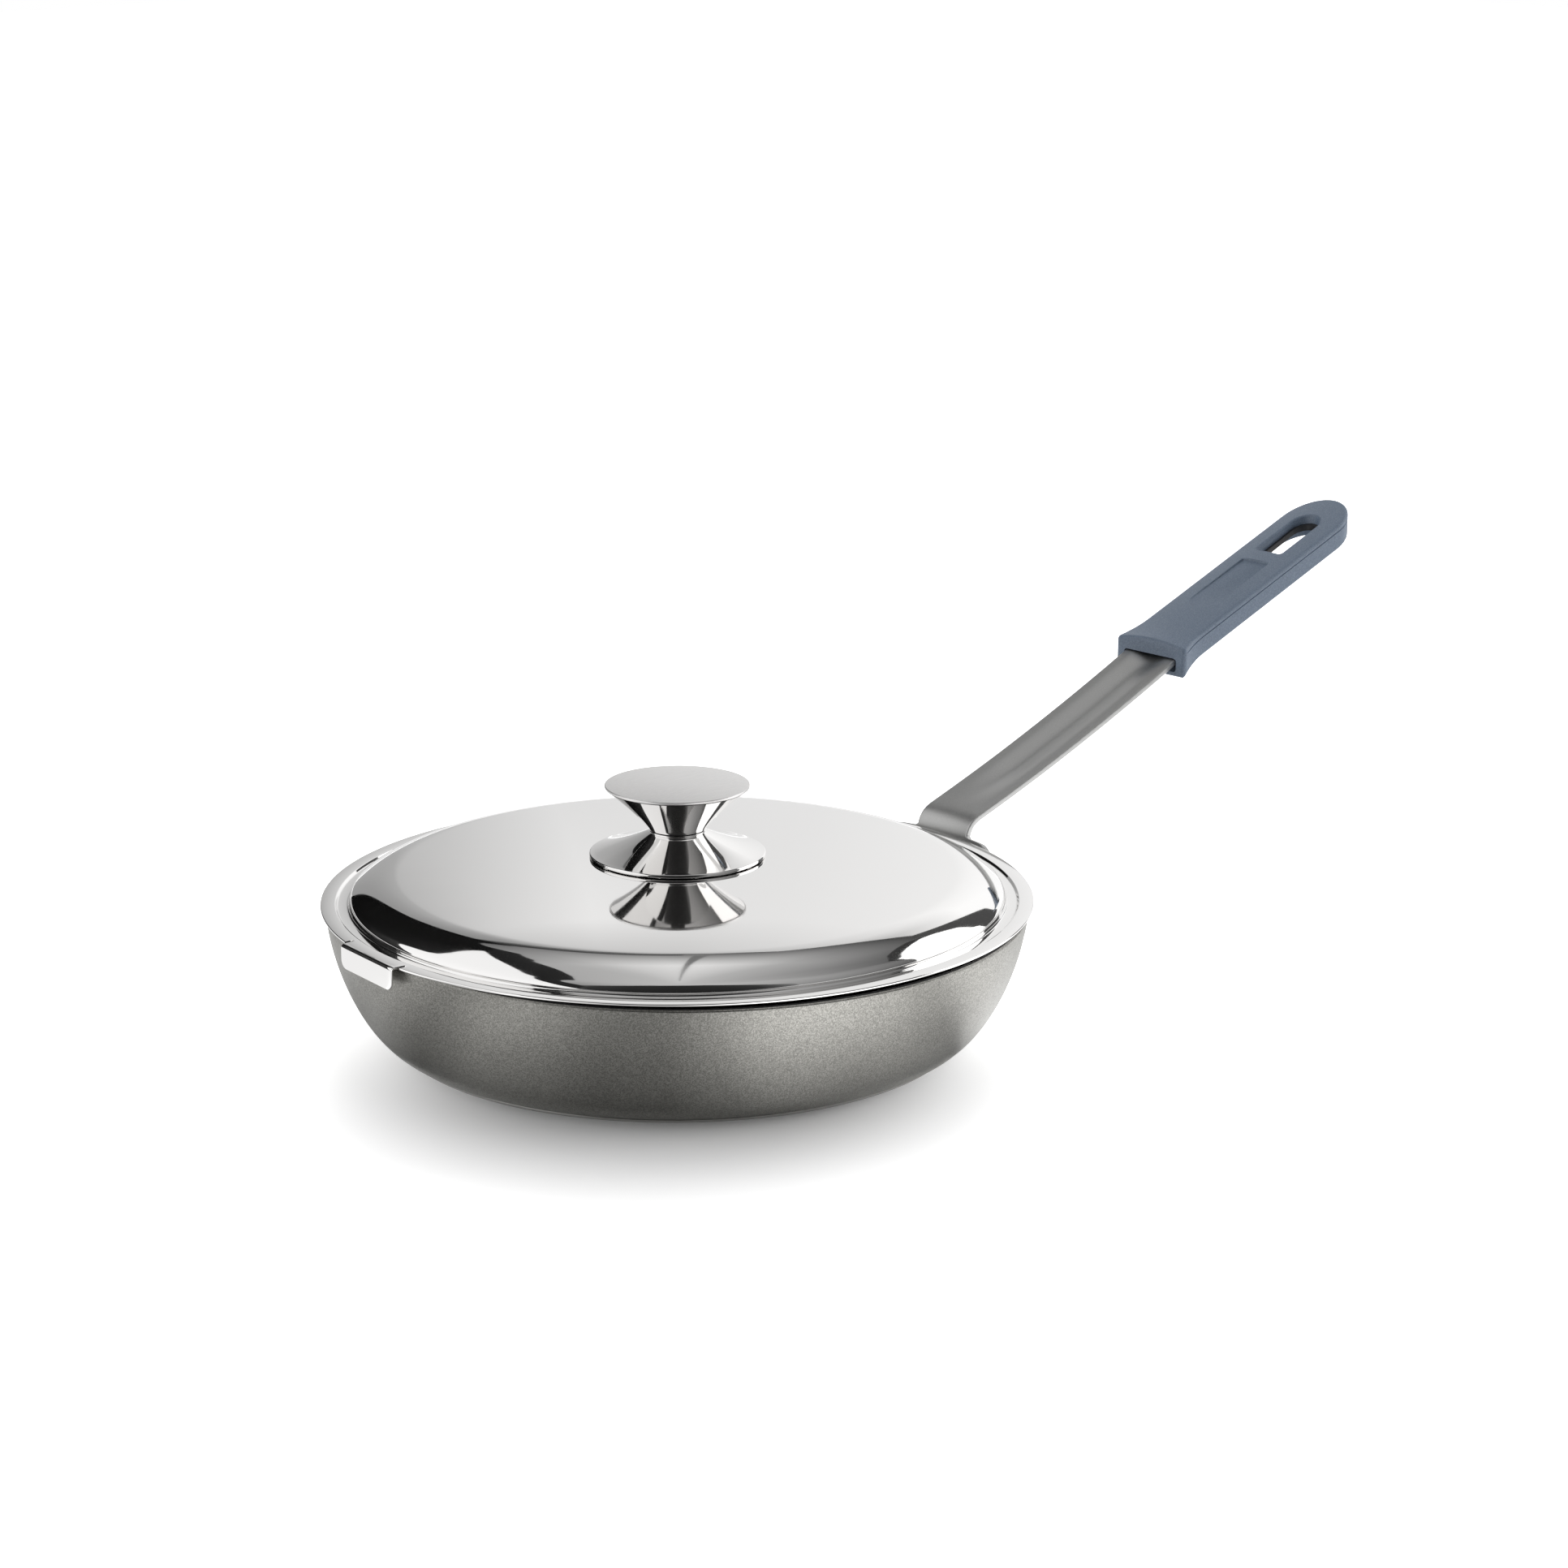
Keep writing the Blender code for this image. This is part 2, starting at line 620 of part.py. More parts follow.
def grip_section(reach, width_share, inset):
    """One upright section through the grip, as a closed loop of points."""
    flare = grip_flare(reach)
    half = (GRIP_HALF_WIDTH + GRIP_FLARE_SIDE * flare) * width_share - inset
    top = grip_top(reach) + GRIP_FLARE_TOP * flare - inset
    bottom = grip_top(reach) - GRIP_THICKNESS - GRIP_FLARE_BOTTOM * flare + inset
    crown = (GRIP_CROWN + GRIP_FLARE_CROWN * flare) * width_share**2
    edge = min(GRIP_EDGE_TOP, 0.4 * half)
    low_edge = min(GRIP_EDGE_BOTTOM, 0.4 * half)
    points = []
    for step in range(9):
        across = (half - edge) * (step / 4 - 1)
        points.append((across, top - crown * (across / half) ** 2))
    shoulder = top - crown
    points.append((half - 0.25 * edge, shoulder - 0.3 * edge))
    points.append((half, shoulder - edge))
    points.append((half, bottom + low_edge))
    points.append((half - 0.3 * low_edge, bottom + 0.3 * low_edge))
    points.append((half - low_edge, bottom))
    points.append((0.0, bottom))
    points.append((low_edge - half, bottom))
    points.append((0.3 * low_edge - half, bottom + 0.3 * low_edge))
    points.append((-half, bottom + low_edge))
    points.append((-half, shoulder - edge))
    points.append((0.25 * edge - half, shoulder - 0.3 * edge))
    return [(reach, across, height) for across, height in points]


def build_grip(material):
    """The soft sleeve, lofted front to rear, then cut for tongue, slot and recess."""
    face = GRIP_FACE_ROUND
    sections = []
    for share, inset in ((0.0, 1.0), (0.3, 0.45), (0.65, 0.12), (1.0, 0.0)):
        sections.append(grip_section(GRIP_START_REACH + share * face, 1.0, inset * GRIP_FACE_INSET))
    for share in (0.25, 0.45, 0.7, 1.0):
        reach = GRIP_START_REACH + face + share * (GRIP_FLARE_LENGTH - face)
        sections.append(grip_section(reach, 1.0, 0.0))
    rear_start = GRIP_REAR_REACH - GRIP_HALF_WIDTH
    for share in (0.3, 0.6):
        reach = GRIP_START_REACH + GRIP_FLARE_LENGTH
        sections.append(grip_section(reach + share * (rear_start - reach), 1.0, 0.0))
    for angle in GRIP_END_DEGREES:
        reach = rear_start + GRIP_HALF_WIDTH * math.sin(math.radians(angle))
        sections.append(grip_section(reach, math.cos(math.radians(angle)), 0.0))
    grip = add_object("grip_sleeve", loft(sections), material)
    combine(grip, pocket_cutter(), "DIFFERENCE")
    combine(grip, mouth_cutter(), "DIFFERENCE")
    combine(grip, slot_cutter("grip_slot_cutter", 0.0), "DIFFERENCE")
    combine(grip, recess_cutter(), "DIFFERENCE")
    return grip


def pocket_cutter():
    """Room for the narrow tongue, one gap larger all round."""
    half = TONGUE_WIDTH / 2 + GAP
    start = GRIP_START_REACH + TONGUE_NECK_LENGTH
    round_start = TONGUE_END_REACH - TONGUE_WIDTH / 2
    stations = [(start, strap_height(start), half, 0.0, 0.0)]
    for angle in TONGUE_END_DEGREES:
        reach = round_start + half * math.sin(math.radians(angle))
        width = half * math.cos(math.radians(angle))
        stations.append((reach, strap_height(reach), width, 0.0, 0.0))
    builder = strip(stations, STRAP_THICKNESS + 2 * GAP, 4, lift=GAP)
    return guide(add_object("grip_pocket_cutter", builder))


def mouth_cutter():
    """The wide mouth at the grip's front, where the full strap and its gutter enter."""
    half = STRAP_WIDTH / 2 + GRIP_MOUTH_CLEARANCE
    start = GRIP_START_REACH - STRAP_THICKNESS
    end = GRIP_START_REACH + TONGUE_NECK_LENGTH + GUTTER_RUN_OUT + GRIP_MOUTH_CLEARANCE
    stations = [(reach, strap_height(reach), half, 0.0, 0.0) for reach in (start, GRIP_START_REACH, end)]
    deep = STRAP_THICKNESS + GUTTER_DEPTH + 2 * GRIP_MOUTH_CLEARANCE
    return guide(add_object("grip_mouth_cutter", strip(stations, deep, 2, lift=GRIP_MOUTH_CLEARANCE)))


def plan_prism(name, outline, reach, height, low, high):
    """A prism over a plan outline, square to the grip's top face at one point."""
    builder = bmesh.new()
    rings = []
    for level in (low, high):
        rings.append([builder.verts.new((along, across, level)) for along, across in outline])
    count = len(outline)
    for index in range(count):
        following = (index + 1) % count
        builder.faces.new((rings[0][index], rings[0][following], rings[1][following], rings[1][index]))
    builder.faces.new(rings[0])
    builder.faces.new(rings[1])
    place = Matrix.Translation((reach, 0.0, height)) @ Matrix.Rotation(-grip_tilt(), 4, "Y")
    bmesh.ops.transform(builder, matrix=place, verts=builder.verts)
    return guide(add_object(name, builder))


def slot_cutter(name, ledge):
    """The hanging slot, straight in front and full round behind, drawn in by a ledge."""
    radius = SLOT_WIDTH / 2 - ledge
    along_scale = 1 / math.cos(grip_tilt())
    front = ledge
    rear_centre = SLOT_LENGTH * along_scale - SLOT_WIDTH / 2
    corner = SLOT_CORNER
    outline = arc((front + corner, -radius + corner), corner, math.pi, 1.5 * math.pi, 2)
    outline += arc((rear_centre, 0.0), radius, -math.pi / 2, math.pi / 2, 10)
    outline += arc((front + corner, radius - corner), corner, math.pi / 2, math.pi, 2)
    height = grip_top(SLOT_FRONT_REACH)
    return plan_prism(name, outline, SLOT_FRONT_REACH, height, -2.2 * GRIP_THICKNESS, GRIP_THICKNESS)


def recess_cutter():
    """The shallow bare recess, round in front and straight behind, deeper towards its rear."""
    along_scale = 1 / math.cos(grip_tilt())
    length = RECESS_LENGTH * along_scale
    radius = RECESS_WIDTH / 2
    outline = arc((radius, 0.0), radius, math.pi / 2, 1.5 * math.pi, 10)
    outline += [(length, -radius), (length, radius)]
    depth = RECESS_DEPTH
    height = grip_top(RECESS_FRONT_REACH)
    return plan_prism("recess_cutter", outline, RECESS_FRONT_REACH, height, -depth, 4 * depth)


# Lid


def crown_height(radius):
    """Height of the lid's top face above the ground, inside the turn to its wall."""
    return LID_APEX_Z - LID_CROWN_CURVE + math.sqrt(LID_CROWN_CURVE**2 - radius**2)


def lid_top_profile():
    """Top face of the lid: flat crown, turn, shoulder, groove and flange."""
    hole = SCREW_RADIUS + GAP
    points = []
    for step in range(LID_CROWN_STEPS):
        radius = hole + (LID_TURN_START - hole) * step / LID_CROWN_STEPS
        points.append((radius, crown_height(radius)))
    turn = LID_TURN_RADIUS
    shoulder = LID_SHOULDER_RADIUS
    first = math.asin(LID_TURN_START / LID_CROWN_CURVE)
    middle = (LID_TURN_START - turn * math.sin(first), crown_height(LID_TURN_START) - turn * math.cos(first))
    centre_radius = LID_WALL_RADIUS - shoulder
    last = math.asin((centre_radius - middle[0]) / (turn - shoulder))
    points += arc(middle, turn, math.pi / 2 - first, math.pi / 2 - last, LID_TURN_STEPS)
    centre = (centre_radius, middle[1] + (turn - shoulder) * math.cos(last))
    points += arc(centre, shoulder, math.pi / 2 - last, 0.0, LID_FILLET_STEPS)[1:]
    groove_z = FLANGE_TOP_Z - LID_GROOVE_DEPTH
    fillet = LID_GROOVE_FILLET
    points += arc((LID_WALL_RADIUS + fillet, groove_z + fillet), fillet, math.pi, 1.5 * math.pi, 3)
    points.append((LID_GROOVE_OUTER_RADIUS - LID_GROOVE_SIDE, groove_z))
    points.append((LID_GROOVE_OUTER_RADIUS, FLANGE_TOP_Z))
    points.append((LID_FLANGE_RADIUS - LID_FLANGE_EDGE, FLANGE_TOP_Z))
    return points


def build_lid_shell(material, parent):
    """The pressed lid with its locating groove, flange and bent tab."""
    top = lid_top_profile()
    under = offset_profile(top, LID_SHEET)
    hole = top[0][0]
    under[0] = (hole, top[0][1] - LID_SHEET)
    edge = [
        (LID_FLANGE_RADIUS, FLANGE_TOP_Z - LID_FLANGE_EDGE),
        (LID_FLANGE_RADIUS, FLANGE_BOTTOM_Z + LID_FLANGE_EDGE),
        (LID_FLANGE_RADIUS - LID_FLANGE_EDGE, FLANGE_BOTTOM_Z),
    ]
    profile = top + edge + list(reversed(under[:-1]))
    lid = add_object("lid_shell", spin_profile(profile, LARGE_SEGMENTS, True), material, parent)
    for side in (-1, 1):
        combine(lid, notch_cutter(side), "DIFFERENCE")
    combine(lid, tab_guide(), "UNION")
    return lid


def tab_guide():
    """The tab: a web in the flange, a bend and a flat face that hangs outside the pan."""
    top_z = FLANGE_TOP_Z - TAB_SHEET_INSET
    thickness = LID_SHEET - 2 * TAB_SHEET_INSET
    face = LID_FLANGE_RADIUS + TAB_OVERHANG
    root = LID_FLANGE_RADIUS - TAB_ROOT
    bend = TAB_BEND_RADIUS
    half = TAB_WIDTH / 2
    stations = [(root, top_z, half, 0.0, 0.0), (face - 1.5 * bend, top_z, half, 0.0, 0.0)]
    for reach, height in arc((face - bend, top_z - bend), bend, math.pi / 2, 0.0, 4):
        stations.append((reach, height, half, 0.0, 0.0))
    bottom = FLANGE_TOP_Z - TAB_DROP
    corner = TAB_CORNER_RADIUS
    for angle in QUARTER_DEGREES:
        drop = corner * math.sin(math.radians(angle))
        inward = corner * (1 - math.cos(math.radians(angle)))
        stations.append((face, bottom + corner - drop, half - inward, 0.0, 0.0))
    builder = strip(stations, thickness, 4)
    bmesh.ops.rotate(builder, cent=(0, 0, 0), matrix=Matrix.Rotation(TAB_ANGLE, 3, "Z"), verts=builder.verts)
    return guide(add_object("tab_guide", builder))


def notch_cutter(side):
    """A relief notch in the flange beside the tab's bend."""
    middle = side * (TAB_WIDTH + TAB_NOTCH_WIDTH) / 2
    edge = math.sqrt(LID_FLANGE_RADIUS**2 - middle**2)
    builder = bmesh.new()
    size = Matrix.Diagonal((2 * TAB_NOTCH_DEPTH, TAB_NOTCH_WIDTH, 6 * LID_SHEET, 1.0))
    place = Matrix.Translation((edge, middle, FLANGE_TOP_Z - LID_SHEET / 2))
    bmesh.ops.create_cube(builder, size=1.0, matrix=Matrix.Rotation(TAB_ANGLE, 4, "Z") @ place @ size)
    return guide(add_object("notch_left_cutter" if side > 0 else "notch_right_cutter", builder))


# Knob


def skirt_contact_z():
    """Height at which the skirt's rim rests above the lid."""
    return crown_height(SKIRT_RADIUS - SKIRT_RIM_ROUND) + GAP


def waist_z():
    """Height of the joint line between skirt and cone."""
    return skirt_contact_z() + SKIRT_HEIGHT


def build_knob_skirt(material, parent):
    """The lower funnel: a flat cone with a short upright rim."""
    bottom = skirt_contact_z()
    top = waist_z() - GAP / 2
    rim_top = bottom + SKIRT_RIM_HEIGHT
    sheet = KNOB_SHEET
    rim = SKIRT_RADIUS
    bore = BUSH_RADIUS + GAP
    profile = [
        (bore, top),
        (KNOB_WAIST_RADIUS - KNOB_EDGE, top),
        (KNOB_WAIST_RADIUS, top - KNOB_EDGE),
        (rim - SKIRT_LIP, rim_top),
        (rim - 0.6 * SKIRT_RIM_ROUND, rim_top - 0.5 * SKIRT_RIM_ROUND),
        (rim, rim_top - 1.2 * SKIRT_RIM_ROUND),
        (rim, bottom + SKIRT_RIM_ROUND),
        (rim - SKIRT_RIM_ROUND, bottom),
        (rim - sheet - SKIRT_RIM_ROUND, bottom),
        (rim - sheet - SKIRT_RIM_ROUND, rim_top - sheet),
        (KNOB_WAIST_RADIUS, top - KNOB_EDGE - sheet),
        (bore, top - sheet),
    ]
    return add_object("knob_skirt", spin_profile(profile, SMALL_SEGMENTS, True), material, parent)


def build_knob_cone(material, parent):
    """The upper funnel, whose closed foot rests on the skirt's top."""
    bottom = waist_z() + GAP / 2
    top = waist_z() + CONE_HEIGHT
    sheet = KNOB_SHEET
    bore = BUSH_RADIUS + GAP
    lip = CONE_TOP_RADIUS
    profile = [
        (bore, bottom + sheet),
        (bore, bottom),
        (KNOB_WAIST_RADIUS - KNOB_EDGE, bottom),
        (KNOB_WAIST_RADIUS, bottom + KNOB_EDGE),
        (lip, top),
        (lip - 1.5 * sheet, top),
        (KNOB_WAIST_RADIUS - 0.6 * sheet, bottom + sheet),
    ]
    return add_object("knob_cone", spin_profile(profile, SMALL_SEGMENTS, True), material, parent)


def build_knob_cap(material, parent):
    """The slightly domed disc that closes the cone, with a spigot inside it."""
    low = waist_z() + CONE_HEIGHT + GAP
    high = low + CAP_RIM_HEIGHT
    rim = CAP_RADIUS
    sheet = KNOB_SHEET
    spigot = CAP_SPIGOT_RADIUS
    dome_radius = (rim * rim + CAP_CROWN**2) / (2 * CAP_CROWN)
    half_angle = math.asin((rim - CAP_EDGE) / dome_radius)
    centre = (0.0, high + CAP_CROWN - dome_radius)
    dome = arc(centre, dome_radius, math.pi / 2 - half_angle, math.pi / 2, 4)
    profile = [
        (0.0, low),
        (spigot - sheet, low),
        (spigot - sheet, low - CAP_SPIGOT),
        (spigot, low - CAP_SPIGOT),
        (spigot, low),
        (rim - CAP_EDGE, low),
        (rim, low + CAP_EDGE),
        *dome[:-1],
        (0.0, dome[-1][1]),
    ]
    return add_object("knob_cap", spin_profile(profile, SMALL_SEGMENTS, False), material, parent)


def build_knob_bush(material, parent):
    """A tapped bush with a collar that presses the cone and skirt on the lid."""
    foot = crown_height(0.0) + GAP
    collar = waist_z() + GAP / 2 + KNOB_SHEET + GAP
    top = collar + BUSH_COLLAR_HEIGHT + BUSH_TOP_LENGTH
    bore = SCREW_RADIUS + GAP
    bore_top = screw_top_z() + GAP
    profile = [
        (bore, foot),
        (BUSH_RADIUS, foot),
        (BUSH_RADIUS, collar),
        (BUSH_COLLAR_RADIUS, collar),
        (BUSH_COLLAR_RADIUS, collar + BUSH_COLLAR_HEIGHT),
        (BUSH_RADIUS, collar + BUSH_COLLAR_HEIGHT),
        (BUSH_RADIUS, top),
        (0.0, top),
        (0.0, bore_top),
        (bore, bore_top),
    ]
    return add_object("knob_bush", spin_profile(profile, FIXING_SEGMENTS, True), material, parent)


def washer_top_z():
    """Top face of the flat washer, one gap under the lid."""
    return crown_height(0.0) - LID_SHEET - 1.5 * GAP


def lock_washer_top_z():
    """Top face of the lock washer."""
    return washer_top_z() - WASHER_THICKNESS - GAP


def screw_head_top_z():
    """Face of the screw's head that bears on the lock washer."""
    return lock_washer_top_z() - LOCK_WASHER_THICKNESS - GAP


def screw_top_z():
    """Upper end of the screw inside the bush."""
    return screw_head_top_z() + SCREW_LENGTH


def ring_profile(inner, outer, low, high):
    """Section of a plain ring."""
    return [(inner, low), (outer, low), (outer, high), (inner, high)]


def build_flat_washer(material, parent):
    """The wide washer that spreads the screw's load under the lid."""
    high = washer_top_z()
    profile = ring_profile(SCREW_RADIUS + GAP, WASHER_RADIUS, high - WASHER_THICKNESS, high)
    return add_object("flat_washer", spin_profile(profile, FIXING_SEGMENTS, True), material, parent)


def build_lock_washer(material, parent):
    """The split washer under the screw's head."""
    high = lock_washer_top_z()
    low = high - LOCK_WASHER_THICKNESS
    profile = ring_profile(SCREW_RADIUS + GAP, LOCK_WASHER_RADIUS, low, high)
    washer = add_object("lock_washer", spin_profile(profile, FIXING_SEGMENTS, True), material, parent)
    builder = bmesh.new()
    size = Matrix.Diagonal((2 * LOCK_WASHER_RADIUS, LOCK_WASHER_SPLIT, 4 * LOCK_WASHER_THICKNESS, 1.0))
    place = Matrix.Translation((LOCK_WASHER_RADIUS, 0.0, (low + high) / 2))
    bmesh.ops.create_cube(builder, size=1.0, matrix=place @ size)
    combine(washer, add_object("washer_split_cutter", builder), "DIFFERENCE")
    return washer


def build_knob_screw(material, parent):
    """The screw from under the lid, with a hexagon socket in its head."""
    head_top = screw_head_top_z()
    head_bottom = head_top - SCREW_HEAD_HEIGHT
    chamfer = SCREW_CHAMFER
    profile = [
        (0.0, head_bottom),
        (SCREW_HEAD_RADIUS - chamfer, head_bottom),
        (SCREW_HEAD_RADIUS, head_bottom + chamfer),
        (SCREW_HEAD_RADIUS, head_top),
        (SCREW_RADIUS, head_top),
        (SCREW_RADIUS, screw_top_z() - chamfer),
        (SCREW_RADIUS - chamfer, screw_top_z()),
        (0.0, screw_top_z()),
    ]
    screw = add_object("knob_screw", spin_profile(profile, FIXING_SEGMENTS, False), material, parent)
    builder = bmesh.new()
    across_corners = SCREW_SOCKET_WIDTH / math.cos(math.pi / 6) / 2
    depth = 2 * SCREW_SOCKET_DEPTH
    bmesh.ops.create_cone(
        builder,
        cap_ends=True,
        segments=6,
        radius1=across_corners,
        radius2=across_corners,
        depth=depth,
        matrix=Matrix.Translation((0.0, 0.0, head_bottom)),
    )
    combine(screw, add_object("screw_socket_cutter", builder), "DIFFERENCE")
    return screw


# Assembly


def build():
    """Builds every piece in its place."""
    clear_scene()
    coated = make_material("coated_aluminium", (0.17, 0.16, 0.145), 0.45, 0.6)
    base_steel = make_material("base_steel", (0.50, 0.50, 0.50), 0.40, 1.0)
    mirror_steel = make_material("mirror_steel", (0.62, 0.62, 0.62), 0.06, 1.0)
    satin_steel = make_material("satin_steel", (0.58, 0.58, 0.58), 0.32, 1.0)
    brushed_steel = make_material("brushed_steel", (0.42, 0.42, 0.41), 0.35, 1.0)
    zinc_steel = make_material("zinc_steel", (0.45, 0.46, 0.47), 0.40, 1.0)
    grip_rubber = make_material("grip_rubber", (0.09, 0.12, 0.17), 0.60, 0.0)

    build_base_plate(base_steel)
    build_pan_body(coated)
    build_rivets(zinc_steel)
    build_handle_strap(brushed_steel)
    build_grip(grip_rubber)

    lid_group = add_empty("lid_group", (0.0, 0.0, 0.0))
    build_lid_shell(mirror_steel, lid_group)
    build_knob_skirt(mirror_steel, lid_group)
    build_knob_cone(mirror_steel, lid_group)
    build_knob_cap(satin_steel, lid_group)
    build_knob_bush(zinc_steel, lid_group)
    build_flat_washer(zinc_steel, lid_group)
    build_lock_washer(zinc_steel, lid_group)
    build_knob_screw(zinc_steel, lid_group)


build()
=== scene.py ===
"""Frying pan with a loose lid: its visible pieces, their finishes and a plain studio round them.

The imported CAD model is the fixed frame. Every visible piece is made again at a finer step in the same place,
because a polished lid shows each facet of a coarse one. Sizes are in metres, and the handle points along +X.
"""

import logging
import math
from dataclasses import dataclass, field
from enum import Enum
from typing import Any, Callable

import bmesh
import bpy
from mathutils import Matrix, Vector


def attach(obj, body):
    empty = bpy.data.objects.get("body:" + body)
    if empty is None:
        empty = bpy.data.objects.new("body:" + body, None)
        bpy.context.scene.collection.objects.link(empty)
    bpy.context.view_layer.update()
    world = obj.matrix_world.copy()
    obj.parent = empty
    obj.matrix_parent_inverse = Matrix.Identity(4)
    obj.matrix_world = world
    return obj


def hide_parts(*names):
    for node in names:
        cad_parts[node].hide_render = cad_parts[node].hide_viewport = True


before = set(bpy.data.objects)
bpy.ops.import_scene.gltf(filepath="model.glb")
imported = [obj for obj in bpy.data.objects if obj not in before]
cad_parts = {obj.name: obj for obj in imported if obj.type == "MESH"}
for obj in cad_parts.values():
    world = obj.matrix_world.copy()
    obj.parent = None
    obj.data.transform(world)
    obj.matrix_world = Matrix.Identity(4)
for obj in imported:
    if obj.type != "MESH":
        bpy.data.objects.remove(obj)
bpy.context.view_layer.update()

log = logging.getLogger("frying_pan")

MM = 0.001
SHARP_ANGLE = math.radians(35)
WELD = 1e-7
NOISE_SPAN = (0.3, 0.7)
EDGE_ANGLES = (0, 30, 60, 90)
WHITE = (1.0, 1.0, 1.0, 1.0)
Point = tuple[float, float]


class Slot(Enum):
    """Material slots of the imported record."""

    BASE = "base_steel"
    COATING = "coated_aluminium"
    FIXING = "fixing_steel"
    BRUSHED = "brushed_steel"
    GRIP = "grip_plastic"
    MIRROR = "mirror_steel"
    SATIN = "satin_steel"


class Body(Enum):
    """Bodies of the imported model."""

    PAN = "pan"
    LID = "lid"


# Node and colour helpers


def linear(code: str) -> tuple[float, float, float, float]:
    """Turns an sRGB hex colour into linear light.

    Args:
        code: The colour as #rrggbb.

    Returns:
        Red, green, blue and alpha, linear.
    """
    parts = [int(code[index : index + 2], 16) / 255 for index in (1, 3, 5)]
    light = [part / 12.92 if part <= 0.04045 else ((part + 0.055) / 1.055) ** 2.4 for part in parts]
    return light[0], light[1], light[2], 1.0


def add_node(
    tree: bpy.types.NodeTree,
    kind: str,
    settings: dict[str, Any] | None = None,
    inputs: dict[str | int, Any] | None = None,
) -> bpy.types.Node:
    """Adds a node with its settings, values and links.

    Args:
        tree: The tree that gets the node.
        kind: The node's type name.
        settings: Values of the node's own properties.
        inputs: A value or a socket to link for each input, by name or index.

    Returns:
        The new node.
    """
    node = tree.nodes.new(kind)
    for name, value in (settings or {}).items():
        setattr(node, name, value)
    for key, value in (inputs or {}).items():
        if isinstance(value, bpy.types.NodeSocket):
            tree.links.new(value, node.inputs[key])
        else:
            node.inputs[key].default_value = value
    return node


def new_material(name: str) -> tuple[bpy.types.Material, bpy.types.NodeTree]:
    """Makes an empty node material.

    Args:
        name: The material's name.

    Returns:
        The material and its tree.
    """
    material = bpy.data.materials.new(name)
    material.use_nodes = True
    material.node_tree.nodes.clear()
    return material, material.node_tree


# Finishes


def patterned_material(name: str) -> tuple[bpy.types.Material, bpy.types.NodeTree, bpy.types.NodeSocket]:
    """Makes an empty material for patterns on object coordinates.

    Args:
        name: The material's name.

    Returns:
        The material, its tree and the socket of the object coordinates.
    """
    material, tree = new_material(name)
    return material, tree, add_node(tree, "ShaderNodeTexCoord").outputs["Object"]


def turned_lines(tree: bpy.types.NodeTree, place: bpy.types.NodeSocket, pitch: float) -> bpy.types.NodeSocket:
    """Makes concentric lines round the Z axis.

    Args:
        tree: The material's tree.
        place: Object coordinates.
        pitch: Distance between lines along the radius.

    Returns:
        The socket of the lines' height, from 0 to 1.
    """
    flat = add_node(tree, "ShaderNodeVectorMath", {"operation": "MULTIPLY"}, {0: place, 1: (1.0, 1.0, 0.0)})
    radius = add_node(tree, "ShaderNodeVectorMath", {"operation": "LENGTH"}, {0: flat.outputs[0]})
    inputs = {"W": radius.outputs["Value"], "Scale": 1 / pitch, "Detail": 2.0}
    return add_node(tree, "ShaderNodeTexNoise", {"noise_dimensions": "1D"}, inputs).outputs["Fac"]


def finish_shader(
    material: bpy.types.Material,
    plain: dict[str, Any],
    tone: tuple[bpy.types.NodeSocket, dict[float, str]] | None = None,
    rough: tuple[bpy.types.NodeSocket, float, float, float, float] | None = None,
    bumps: tuple[tuple[bpy.types.NodeSocket, float], ...] = (),
) -> bpy.types.Material:
    """Ends a material in a Principled shader, with patterns in its colour, roughness and bump.

    Args:
        material: The material.
        plain: The shader's inputs that have one value.
        tone: A pattern, and the hex colour at some of its values.
        rough: A pattern, its least and greatest value, and the roughness at each.
        bumps: Patterns with their heights, each laid over the one before.

    Returns:
        The same material.
    """
    tree = material.node_tree
    inputs = dict(plain)
    if tone:
        pattern, colours = tone
        ramp = add_node(tree, "ShaderNodeValToRGB", inputs={"Fac": pattern})
        stops = ramp.color_ramp.elements
        while len(stops) < len(colours):
            stops.new(0.5)
        for stop, (value, code) in zip(stops, colours.items()):
            stop.position = value
            stop.color = linear(code)
        inputs["Base Color"] = ramp.outputs[0]
    if rough:
        names = ("Value", "From Min", "From Max", "To Min", "To Max")
        spread = add_node(tree, "ShaderNodeMapRange", inputs=dict(zip(names, rough)))
        inputs["Roughness"] = spread.outputs[0]
    for pattern, height in bumps:
        below = {"Normal": inputs["Normal"]} if "Normal" in inputs else {}
        values = {"Height": pattern, "Strength": 1.0, "Distance": height, **below}
        inputs["Normal"] = add_node(tree, "ShaderNodeBump", inputs=values).outputs[0]
    shader = add_node(tree, "ShaderNodeBsdfPrincipled", inputs=inputs)
    add_node(tree, "ShaderNodeOutputMaterial", inputs={"Surface": shader.outputs[0]})
    return material


